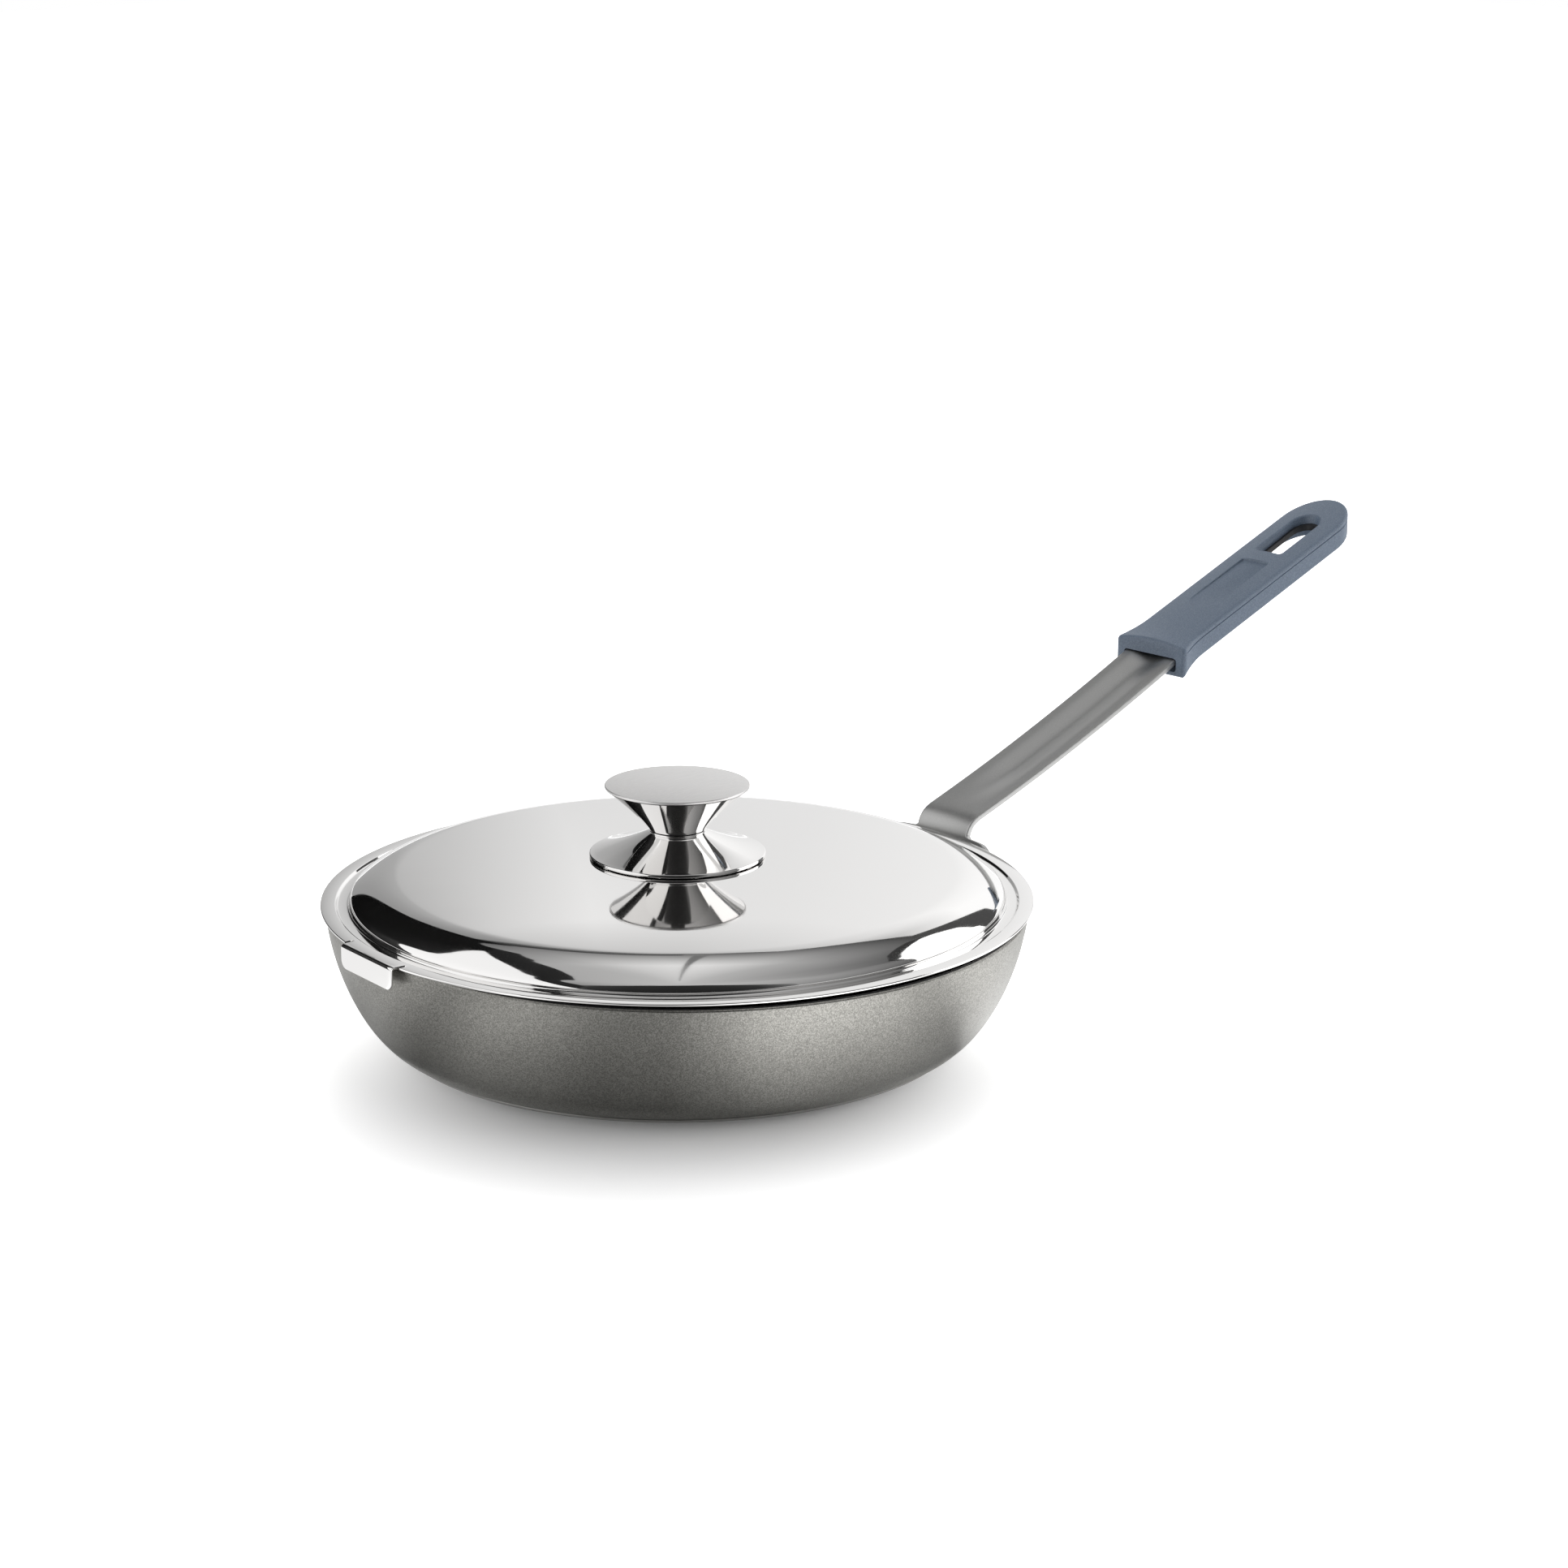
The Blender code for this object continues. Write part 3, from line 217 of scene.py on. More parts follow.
@dataclass(frozen=True)
class PolishedStainless:
    """Stainless sheet after mirror polishing: it mirrors the room, with a slight haze and waviness."""

    name: str = "polished_stainless_steel"
    colour: str = "#ecebea"
    roughness: float = 0.035
    haze: float = 0.03
    haze_span: tuple[float, float] = (0.35, 0.75)
    haze_size: float = 9 * MM
    wave_size: float = 38 * MM
    wave_height: float = 0.006 * MM
    line_pitch: float = 0.35 * MM
    line_height: float = 0.00012 * MM

    def material(self) -> bpy.types.Material:
        """Builds the material: haze in the roughness, faint turned polishing lines and waves in the bump."""
        made, tree, place = patterned_material(self.name)
        clouds = {"Vector": place, "Scale": 1 / self.haze_size, "Detail": 5.0}
        haze = add_node(tree, "ShaderNodeTexNoise", inputs=clouds).outputs["Fac"]
        swell = {"Vector": place, "Scale": 1 / self.wave_size, "Detail": 0.0}
        waves = add_node(tree, "ShaderNodeTexNoise", inputs=swell).outputs["Fac"]
        lines = turned_lines(tree, place, self.line_pitch)
        return finish_shader(
            made,
            {"Base Color": linear(self.colour), "Metallic": 1.0},
            rough=(haze, *self.haze_span, self.roughness, self.roughness + self.haze),
            bumps=((waves, self.wave_height), (lines, self.line_height)),
        )


@dataclass(frozen=True)
class SatinStainless:
    """Stainless after fine straight brushing: a soft sheen with hair lines all one way."""

    name: str = "satin_brushed_stainless_steel"
    colour: str = "#efeeed"
    dark: str = "#dddcdb"
    roughness: float = 0.3
    spread: float = 0.14
    line_width: float = 0.16 * MM
    line_length: float = 14 * MM
    line_height: float = 0.004 * MM

    def material(self) -> bpy.types.Material:
        """Builds the material: stretched noise gives the hair lines in colour, roughness and bump."""
        made, tree, place = patterned_material(self.name)
        stretch = (1 / self.line_length, 1 / self.line_width, 1 / self.line_width)
        scaled = add_node(tree, "ShaderNodeMapping", inputs={"Vector": place, "Scale": stretch})
        noise = {"Vector": scaled.outputs[0], "Scale": 1.0, "Detail": 4.0}
        hair = add_node(tree, "ShaderNodeTexNoise", inputs=noise).outputs["Fac"]
        low, high = NOISE_SPAN
        return finish_shader(
            made,
            {"Metallic": 1.0},
            tone=(hair, {low: self.dark, high: self.colour}),
            rough=(hair, low, high, self.roughness, self.roughness + self.spread),
            bumps=((hair, self.line_height),),
        )


@dataclass(frozen=True)
class MetallicCoating:
    """Sprayed pewter lacquer with metal flakes on aluminium: matte, with a fine sparkle."""

    name: str = "pewter_metallic_lacquer"
    colour: str = "#83827e"
    flake: str = "#9c9b96"
    deep: str = "#72716d"
    roughness: float = 0.38
    spread: float = 0.03
    metallic: float = 0.95
    stops: tuple[float, float, float] = (0.12, 0.45, 0.88)
    flake_size: float = 0.32 * MM
    cloud_size: float = 22 * MM
    grain_height: float = 0.02 * MM

    def material(self) -> bpy.types.Material:
        """Builds the material: flakes in the colour, clouds in the roughness, orange peel in the bump."""
        made, tree, place = patterned_material(self.name)
        scale = 1 / self.flake_size
        cells = add_node(
            tree, "ShaderNodeTexVoronoi", inputs={"Vector": place, "Scale": scale, "Randomness": 1.0}
        )
        wide = {"Vector": place, "Scale": 1 / self.cloud_size, "Detail": 3.0}
        clouds = add_node(tree, "ShaderNodeTexNoise", inputs=wide)
        peel = add_node(tree, "ShaderNodeTexNoise", inputs={"Vector": place, "Scale": scale, "Detail": 2.0})
        least, most = self.roughness - self.spread, self.roughness + self.spread
        return finish_shader(
            made,
            {"Metallic": self.metallic},
            tone=(cells.outputs["Color"], dict(zip(self.stops, (self.deep, self.colour, self.flake)))),
            rough=(clouds.outputs["Fac"], *NOISE_SPAN, least, most),
            bumps=((peel.outputs["Fac"], self.grain_height),),
        )


@dataclass(frozen=True)
class NonStickCoating:
    """Dark fluoropolymer coating inside the pan: smooth, with pale mineral specks."""

    name: str = "dark_non_stick_coating"
    colour: str = "#2c2c2d"
    speck: str = "#6b6a68"
    roughness: float = 0.42
    coat: float = 0.15
    coat_roughness: float = 0.3
    speck_radius: float = 0.10
    speck_fade: float = 0.17
    speck_size: float = 1.1 * MM
    grain_size: float = 0.5 * MM
    grain_height: float = 0.012 * MM

    def material(self) -> bpy.types.Material:
        """Builds the material: sparse specks in the colour and a fine grain in the bump."""
        made, tree, place = patterned_material(self.name)
        cells = {"Vector": place, "Scale": 1 / self.speck_size, "Randomness": 1.0}
        specks = add_node(tree, "ShaderNodeTexVoronoi", inputs=cells)
        fine = {"Vector": place, "Scale": 1 / self.grain_size, "Detail": 2.0}
        grain = add_node(tree, "ShaderNodeTexNoise", inputs=fine)
        return finish_shader(
            made,
            {"Roughness": self.roughness, "Coat Weight": self.coat, "Coat Roughness": self.coat_roughness},
            tone=(specks.outputs["Distance"], {self.speck_radius: self.speck, self.speck_fade: self.colour}),
            bumps=((grain.outputs["Fac"], self.grain_height),),
        )


@dataclass(frozen=True)
class MouldedGrip:
    """Glass-filled nylon with a spark-eroded mould grain: matte slate blue with a fine speckle."""

    name: str = "slate_glass_filled_nylon"
    colour: str = "#647285"
    light: str = "#738292"
    dark: str = "#586576"
    roughness: float = 0.42
    refraction: float = 1.53
    stops: tuple[float, float, float] = (0.3, 0.5, 0.72)
    grain_size: float = 0.42 * MM
    grain_height: float = 0.035 * MM

    def material(self) -> bpy.types.Material:
        """Builds the material: eroded grain in the bump, with its peaks a little lighter."""
        made, tree, place = patterned_material(self.name)
        fine = {"Vector": place, "Scale": 1 / self.grain_size, "Detail": 2.0}
        grain = add_node(tree, "ShaderNodeTexNoise", inputs=fine).outputs["Fac"]
        return finish_shader(
            made,
            {"Roughness": self.roughness, "IOR": self.refraction},
            tone=(grain, dict(zip(self.stops, (self.dark, self.colour, self.light)))),
            bumps=((grain, self.grain_height),),
        )


@dataclass(frozen=True)
class TurnedSteel:
    """Stainless disc faced on a lathe: concentric tool marks that spread the light."""

    name: str = "lathe_turned_stainless_steel"
    colour: str = "#c9c8c6"
    dark: str = "#b0afad"
    roughness: float = 0.28
    line_pitch: float = 0.5 * MM
    line_height: float = 0.012 * MM

    def material(self) -> bpy.types.Material:
        """Builds the material: noise along the radius gives the tool marks."""
        made, tree, place = patterned_material(self.name)
        lines = turned_lines(tree, place, self.line_pitch)
        low, high = NOISE_SPAN
        return finish_shader(
            made,
            {"Metallic": 1.0, "Roughness": self.roughness},
            tone=(lines, {low: self.dark, high: self.colour}),
            bumps=((lines, self.line_height),),
        )


@dataclass(frozen=True)
class ZincPlatedSteel:
    """Zinc-plated fixings: dull silver with faint crystal patches."""

    name: str = "zinc_plated_steel"
    colour: str = "#b9bbbc"
    dark: str = "#a2a5a8"
    smooth: float = 0.29
    rough: float = 0.42
    patch_span: tuple[float, float] = (0.35, 0.65)
    patch_size: float = 2.2 * MM

    def material(self) -> bpy.types.Material:
        """Builds the material: soft patches in colour and roughness."""
        made, tree, place = patterned_material(self.name)
        crystals = {"Vector": place, "Scale": 1 / self.patch_size, "Detail": 4.0}
        patches = add_node(tree, "ShaderNodeTexNoise", inputs=crystals).outputs["Fac"]
        return finish_shader(
            made,
            {"Metallic": 1.0},
            tone=(patches, dict(zip(self.patch_span, (self.dark, self.colour)))),
            rough=(patches, *NOISE_SPAN, self.smooth, self.rough),
        )


# Mesh helpers


def arc(centre: Point, radius: float, start: float, end: float, steps: int) -> list[Point]:
    """Walks along a circular arc.

    Args:
        centre: Middle of the circle.
        radius: Its radius.
        start: First angle.
        end: Last angle.
        steps: Number of steps.

    Returns:
        The arc's points, both ends included.
    """
    angles = [start + (end - start) * step / steps for step in range(steps + 1)]
    return [(centre[0] + radius * math.cos(a), centre[1] + radius * math.sin(a)) for a in angles]


def rounded(corners: list[tuple], closed: bool = False, steps: int = 5) -> list[Point]:
    """Rounds the corners of a section, with a held point beside each round so that flats stay flat.

    Args:
        corners: (x, y) or (x, y, fillet radius) of each corner.
        closed: Whether the last corner joins the first.
        steps: Steps of a quarter round.

    Returns:
        The section's points.
    """
    hold = 0.04 * MM
    made: list[Point] = []
    count = len(corners)
    for index, corner in enumerate(corners):
        here = Vector(corner[:2])
        radius = corner[2] if len(corner) > 2 else 0.0
        ends = not closed and index in (0, count - 1)
        if ends or not radius:
            made.append(tuple(here))
            continue
        before = Vector(corners[index - 1][:2]) - here
        after = Vector(corners[(index + 1) % count][:2]) - here
        half = before.angle(after) / 2
        reach = radius / math.tan(half)
        low = here + before.normalized() * reach
        high = here + after.normalized() * reach
        bisector = (before.normalized() + after.normalized()).normalized()
        middle = here + bisector * radius / math.sin(half)
        turn = math.pi - 2 * half
        number = max(2, round(steps * turn / (math.pi / 2)))
        if before.length > reach + 2 * hold:
            made.append(tuple(low + before.normalized() * hold))
        first = low - middle
        last = high - middle
        for step in range(number + 1):
            share = step / number
            spoke = first * math.sin((1 - share) * turn) + last * math.sin(share * turn)
            made.append(tuple(middle + spoke / math.sin(turn)))
        if after.length > reach + 2 * hold:
            made.append(tuple(high + after.normalized() * hold))
    return made


def offset_profile(profile: list[Point], distance: float) -> list[Point]:
    """Moves an open profile sideways, to its right as it is walked.

    Args:
        profile: The profile's points.
        distance: How far it moves.

    Returns:
        The moved points.
    """
    points = [Vector(point) for point in profile]
    moved = []
    for index, point in enumerate(points):
        before = points[max(index - 1, 0)]
        after = points[min(index + 1, len(points) - 1)]
        normals = []
        for start, end in ((before, point), (point, after)):
            along = end - start
            if along.length > WELD:
                along.normalize()
                normals.append(Vector((along.y, -along.x)))
        mitre = sum(normals, Vector((0.0, 0.0))).normalized()
        moved.append(tuple(point + mitre * distance / max(mitre.dot(normals[0]), 0.5)))
    return moved


def smooth_step(value: float) -> float:
    """Eases from 0 to 1."""
    value = min(max(value, 0.0), 1.0)
    return value * value * (3 - 2 * value)


def bezier(points: tuple[Vector, Vector, Vector, Vector], share: float) -> Point:
    """Finds a point on a cubic curve.

    Args:
        points: Start, two handles and end.
        share: Place along the curve, from 0 to 1.

    Returns:
        The point.
    """
    rest = 1 - share
    weights = (rest**3, 3 * share * rest**2, 3 * share**2 * rest, share**3)
    found = sum((point * weight for point, weight in zip(points, weights)), Vector((0.0, 0.0)))
    return found.x, found.y


def new_piece(name: str, mesh: bpy.types.Mesh) -> bpy.types.Object:
    """Links a mesh as an object at the origin.

    Args:
        name: The object's name.
        mesh: Its mesh.

    Returns:
        The object.
    """
    obj = bpy.data.objects.new(name, mesh)
    bpy.context.scene.collection.objects.link(obj)
    return obj


def from_builder(name: str, builder: bmesh.types.BMesh) -> bpy.types.Object:
    """Turns a bmesh into an object with outward, smooth faces.

    Args:
        name: The object's name.
        builder: The bmesh, which is freed.

    Returns:
        The object.
    """
    bmesh.ops.remove_doubles(builder, verts=builder.verts, dist=WELD)
    bmesh.ops.recalc_face_normals(builder, faces=builder.faces)
    mesh = bpy.data.meshes.new(name)
    builder.to_mesh(mesh)
    builder.free()
    mesh.shade_smooth()
    mesh.set_sharp_from_angle(angle=SHARP_ANGLE)
    return new_piece(name, mesh)


def plain_copy(obj: bpy.types.Object, name: str) -> bpy.types.Object:
    """Evaluates an object's modifiers into a plain mesh and removes the source.

    Args:
        obj: The object with its modifiers.
        name: The new piece's name.

    Returns:
        The plain piece.
    """
    graph = bpy.context.evaluated_depsgraph_get()
    mesh = bpy.data.meshes.new_from_object(obj.evaluated_get(graph), depsgraph=graph)
    bpy.data.objects.remove(obj, do_unlink=True)
    materials = [material for material in mesh.materials if material is not None]
    builder = bmesh.new()
    builder.from_mesh(mesh)
    bpy.data.meshes.remove(mesh)
    piece = from_builder(name, builder)
    for material in materials:
        piece.data.materials.append(material)
    return piece


def set_inputs(modifier: bpy.types.Modifier, values: dict[str, Any]) -> None:
    """Sets a Geometry Nodes modifier's inputs by their sockets' identifiers.

    Args:
        modifier: The modifier.
        values: A value for each named input.
    """
    for item in modifier.node_group.interface.items_tree:
        if item.item_type == "SOCKET" and item.in_out == "INPUT" and item.name in values:
            modifier[item.identifier] = values[item.name]


def new_tree(name: str, sockets: dict[str, str]) -> tuple[bpy.types.NodeTree, bpy.types.Node]:
    """Makes a Geometry Nodes tree with named inputs.

    Args:
        name: The tree's name.
        sockets: The socket type of each named input after the geometry.

    Returns:
        The tree and its input node.
    """
    tree = bpy.data.node_groups.new(name, "GeometryNodeTree")
    tree.is_modifier = True
    tree.interface.new_socket("Geometry", in_out="INPUT", socket_type="NodeSocketGeometry")
    for socket, kind in sockets.items():
        tree.interface.new_socket(socket, in_out="INPUT", socket_type=kind)
    tree.interface.new_socket("Geometry", in_out="OUTPUT", socket_type="NodeSocketGeometry")
    return tree, add_node(tree, "NodeGroupInput")


def end_tree(tree: bpy.types.NodeTree, shape: bpy.types.NodeSocket, material: bpy.types.NodeSocket) -> None:
    """Ends a tree in Realize Instances and Set Material.

    Args:
        tree: The tree.
        shape: The geometry to end with.
        material: The material input.
    """
    real = add_node(tree, "GeometryNodeRealizeInstances", inputs={"Geometry": shape})
    dressed = add_node(
        tree, "GeometryNodeSetMaterial", inputs={"Geometry": real.outputs[0], "Material": material}
    )
    add_node(tree, "NodeGroupOutput", inputs={0: dressed.outputs[0]})


class Lathe:
    """Turns sections about the Z axis with one Geometry Nodes tree."""

    guide_radius: float = 50 * MM

    def __init__(self) -> None:
        """Builds the tree: the section is swept round a guide circle and welded at the poles."""
        sockets = {
            "Segments": "NodeSocketInt",
            "Guide Radius": "NodeSocketFloat",
            "Weld Distance": "NodeSocketFloat",
            "Material": "NodeSocketMaterial",
        }
        self.tree, given = new_tree("lathe", sockets)
        inputs = given.outputs
        section = add_node(self.tree, "GeometryNodeMeshToCurve", inputs={"Mesh": inputs["Geometry"]})
        ring = {"Resolution": inputs["Segments"], "Radius": inputs["Guide Radius"]}
        circle = add_node(self.tree, "GeometryNodeCurvePrimitiveCircle", inputs=ring)
        path = {"Curve": circle.outputs[0], "Profile Curve": section.outputs[0]}
        swept = add_node(self.tree, "GeometryNodeCurveToMesh", inputs=path)
        seam = {"Geometry": swept.outputs[0], "Distance": inputs["Weld Distance"]}
        welded = add_node(self.tree, "GeometryNodeMergeByDistance", inputs=seam)
        end_tree(self.tree, welded.outputs[0], inputs["Material"])

    def turn(
        self,
        name: str,
        section: list[Point],
        segments: int,
        material: bpy.types.Material,
        closed: bool = False,
    ) -> bpy.types.Object:
        """Turns one section into a piece.

        Args:
            name: The piece's name.
            section: (radius, height) points.
            segments: Steps round the axis.
            material: The piece's material.
            closed: Whether the section's last point joins its first.

        Returns:
            The piece as a plain mesh.
        """
        points = [(radius - self.guide_radius, -height, 0.0) for radius, height in section]
        edges = [(index, index + 1) for index in range(len(points) - 1)]
        if closed:
            edges.append((len(points) - 1, 0))
        mesh = bpy.data.meshes.new(f"{name}_section")
        mesh.from_pydata(points, edges, [])
        source = new_piece(f"{name}_section", mesh)
        modifier = source.modifiers.new("lathe", "NODES")
        modifier.node_group = self.tree
        values = {
            "Segments": segments,
            "Guide Radius": self.guide_radius,
            "Weld Distance": WELD,
            "Material": material,
        }
        set_inputs(modifier, values)
        return plain_copy(source, name)


@dataclass
class Station:
    """One cross section of a bent strip: its place, half width, wrap round the pan and gutter share."""

    reach: float
    height: float
    half: float
    wrap: float = 0.0
    gutter: float = 0.0


def bridge(builder: bmesh.types.BMesh, rows: list, closed: bool = True) -> None:
    """Joins rows of vertices with quads.

    Args:
        builder: The bmesh that holds them.
        rows: Rows with equal numbers of vertices.
        closed: Whether the last vertex of a row joins its first.
    """
    for low, high in zip(rows, rows[1:]):
        count = len(low)
        for index in range(count if closed else count - 1):
            following = (index + 1) % count
            builder.faces.new((low[index], low[following], high[following], high[index]))


def strip(
    stations: list[Station],
    thickness: float,
    columns: int,
    edge: float = 0.0,
    lift: float = 0.0,
    drop: Callable[[float], float] = lambda across: 0.0,
) -> bmesh.types.BMesh:
    """Skins a bent strip whose upper face lies on its stations.

    Args:
        stations: Cross sections in order.
        thickness: Sheet thickness, below the stations.
        columns: Steps across the strip.
        edge: Radius of the four long edges.
        lift: How far the upper face is raised.
        drop: Depth of the gutter at a distance from the middle.

    Returns:
        A closed bmesh.
    """
    quarter = [math.radians(angle) for angle in (EDGE_ANGLES if edge else EDGE_ANGLES[-1:])]
    builder = bmesh.new()
    rings = []
    for index, station in enumerate(stations):
        before = stations[max(index - 1, 0)]
        after = stations[min(index + 1, len(stations) - 1)]
        along = Vector((after.reach - before.reach, after.height - before.height)).normalized()
        normal = Vector((along.y, -along.x))
        flat = station.half - edge
        side = [(flat + edge * math.sin(a), edge * (1 - math.cos(a))) for a in quarter]
        right = side + [(across, thickness - depth) for across, depth in reversed(side)]
        top = [(flat * (2 * column / columns - 1), 0.0) for column in range(1, columns)]
        left = [(-across, depth) for across, depth in reversed(right)]
        bottom = [(-across, thickness) for across, _ in top]
        ring = []
        for across, depth in top + right + bottom + left:
            sunk = depth - lift + station.gutter * drop(across)
            radial = station.reach + normal.x * sunk
            turned = across / station.reach
            straight = Vector((radial, across, 0.0))
            rolled = Vector((radial * math.cos(turned), radial * math.sin(turned), 0.0))
            point = straight.lerp(rolled, station.wrap)
            point.z = station.height + normal.y * sunk
            ring.append(builder.verts.new(point))
        rings.append(ring)
    bridge(builder, rings)
    builder.faces.new(rings[0])
    builder.faces.new(rings[-1])
    return builder


def prism(rings: list[list[tuple[float, float, float]]]) -> bmesh.types.BMesh:
    """Joins closed rings of points into a closed body.

    Args:
        rings: Rings with equal numbers of points.

    Returns:
        The bmesh.
    """
    builder = bmesh.new()
    made = [[builder.verts.new(point) for point in ring] for ring in rings]
    bridge(builder, made)
    builder.faces.new(made[0])
    builder.faces.new(made[-1])
    return builder


def combine(piece: bpy.types.Object, others: list[tuple[bpy.types.Object, str]]) -> bpy.types.Object:
    """Applies exact Booleans in order and removes their tools.

    Args:
        piece: The piece.
        others: Each tool with DIFFERENCE or UNION.

    Returns:
        The plain piece, under the same name.
    """
    name = piece.name
    for other, operation in others:
        modifier = piece.modifiers.new(operation.lower(), "BOOLEAN")
        modifier.operation = operation
        modifier.solver = "EXACT"
        modifier.object = other
    made = plain_copy(piece, f"{name}_cut")
    for other, _ in others:
        bpy.data.objects.remove(other, do_unlink=True)
    made.name = name
    return made


def settle(piece: bpy.types.Object, body: Body, slot: Slot, *nodes: str) -> None:
    """Rides a finished piece on its body in place of CAD nodes and reports it.

    Args:
        piece: The piece.
        body: The body that it moves with.
        slot: The record's slot for its finish. Not used.
        nodes: CAD nodes that it stands for.
    """
    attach(piece, body.value)
    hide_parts(*nodes)
    log.info("%s: %d faces on %s", piece.name, len(piece.data.polygons), body.value)


# Pan


@dataclass
class PanBody:
    """The pressed pan, its inner coating and the steel disc under it."""

    base_radius: float = 97.2 * MM
    rim_radius: float = 120.3 * MM
    base_height: float = 1.3 * MM
    wall_height: float = 46.0 * MM
    power: float = 1.6
    wall: float = 2.4 * MM
    floor: float = 3.6 * MM
    floor_clear: float = 3.0 * MM
    floor_fillet: float = 2.5 * MM
    floor_inset: float = 2.2 * MM
    coat_depth: float = 0.75
    coat_height: float = 0.5
    coat_tilt: float = 0.8
    rim_round: float = 1.05 * MM
    rim_share: float = 1.5
    rim_dip: float = 1.9 * MM
    dip_side: float = math.radians(-80.0)
    dip_depth: float = 9.0 * MM
    dip_spread: float = 0.6
    wall_steps: int = 44
    wall_crowding: float = 1.7
    segments: int = 288
    disc_radius: float = 97.0 * MM
    disc_thickness: float = 1.0 * MM
    disc_edge: float = 0.25 * MM
    disc_rings: int = 9
    ring_start: float = 6.0 * MM
    ring_margin: float = 9.0 * MM
    ring_depth: float = 0.15 * MM
    ring_slant: float = 0.2 * MM
    ring_width: float = 1.4 * MM

    def radius_at(self, height: float) -> float:
        """Outer wall radius at a height above the ground.

        Args:
            height: Height above the ground.

        Returns:
            The radius.
        """
        share = min(max((height - self.base_height) / self.wall_height, 0.0), 1.0)
        curve = (1 - (1 - share) ** self.power) ** (1 / self.power)
        return self.base_radius + (self.rim_radius - self.base_radius) * curve

    def slope_at(self, height: float) -> float:
        """Outward lean of the wall, as radius per height."""
        step = 0.5 * MM
        return (self.radius_at(height + step) - self.radius_at(height - step)) / (2 * step)

    def section(self) -> list[Point]:
        """Half section of the pan: underside, outer wall, rolled rim, inner wall and floor.

        Returns:
            Radius and height of each point, from the axis under the floor to the axis above it.
        """
        outer = []
        for step in range(self.wall_steps + 1):
            height = self.base_height + self.wall_height * (step / self.wall_steps) ** self.wall_crowding
            outer.append((self.radius_at(height), height))
        floor_z = self.base_height + self.floor
        top = self.base_height + self.wall_height
        edge = self.rim_round
        low = floor_z + self.floor_clear
        high = top - self.rim_share * edge
        inner = [point for point in offset_profile(outer, -self.wall) if low < point[1] < high]
        outer = [point for point in outer if point[1] < high]
        corners = [(self.rim_radius, top, edge), (self.rim_radius - self.wall, top, edge)]
        rim = rounded([outer[-1], *corners, inner[-1]])
        foot = (inner[0][0] - self.floor_inset, floor_z, self.floor_fillet)
        floor = rounded([inner[0], foot, (0.0, floor_z)])
        return [(0.0, self.base_height), *outer[:-1], *rim, *reversed(inner[1:-1]), *floor]

    def disc_section(self) -> list[Point]:
        """Half section of the base disc, with shallow rings turned in its underside.

        Returns:
            Radius and height of each point, from the axis below to the axis above.
        """
        pitch = (self.disc_radius - self.ring_margin) / self.disc_rings
        wide, slant, deep = self.ring_width, self.ring_slant, self.ring_depth
        under: list[tuple] = [(0.0, 0.0)]
        for number in range(self.disc_rings):
            start = self.ring_start + number * pitch
            under += [(start, 0.0), (start + slant, deep), (start + wide - slant, deep), (start + wide, 0.0)]
        edge = self.disc_edge
        rim = [(self.disc_radius, 0.0, edge), (self.disc_radius, self.disc_thickness, edge)]
        return rounded([*under, *rim, (0.0, self.disc_thickness)])

    def build(self, lathe: Lathe) -> None:
        """Makes pan and disc, dresses them and rides them on the pan.

        Args:
            lathe: The lathe that turns them.
        """
        body = lathe.turn("pan_coated_body", self.section(), self.segments, MetallicCoating().material())
        body.data.materials.append(NonStickCoating().material())
        self.line(body)
        self.dip(body)
        settle(body, Body.PAN, Slot.COATING, "pan_body")
        disc = lathe.turn("pan_base_disc", self.disc_section(), self.segments, TurnedSteel().material())
        settle(disc, Body.PAN, Slot.BASE, "base_plate")

    def line(self, body: bpy.types.Object) -> None:
        """Gives the inside and the top of the rim the non-stick coating.

        Args:
            body: The body, whose faces get the second finish.
        """
        low = self.base_height + self.coat_height * self.floor
        for face in body.data.polygons:
            depth = self.radius_at(face.center.z) - math.hypot(face.center.x, face.center.y)
            inside = depth > self.coat_depth * self.wall and face.center.z > low
            if inside or face.normal.z > self.coat_tilt:
                face.material_index = 1

    def dip(self, body: bpy.types.Object) -> None:
        """Lowers the rim a little on the side where a dark gap shows under the lid.

        Args:
            body: The turned pan.
        """
        start = self.base_height + self.wall_height - self.dip_depth
        for vertex in body.data.vertices:
            share = (vertex.co.z - start) / self.dip_depth
            facing = math.cos(math.atan2(vertex.co.y, vertex.co.x) - self.dip_side)
            if share > 0 and facing > 0:
                vertex.co.z -= self.rim_dip * share * facing**self.dip_spread


# Handle


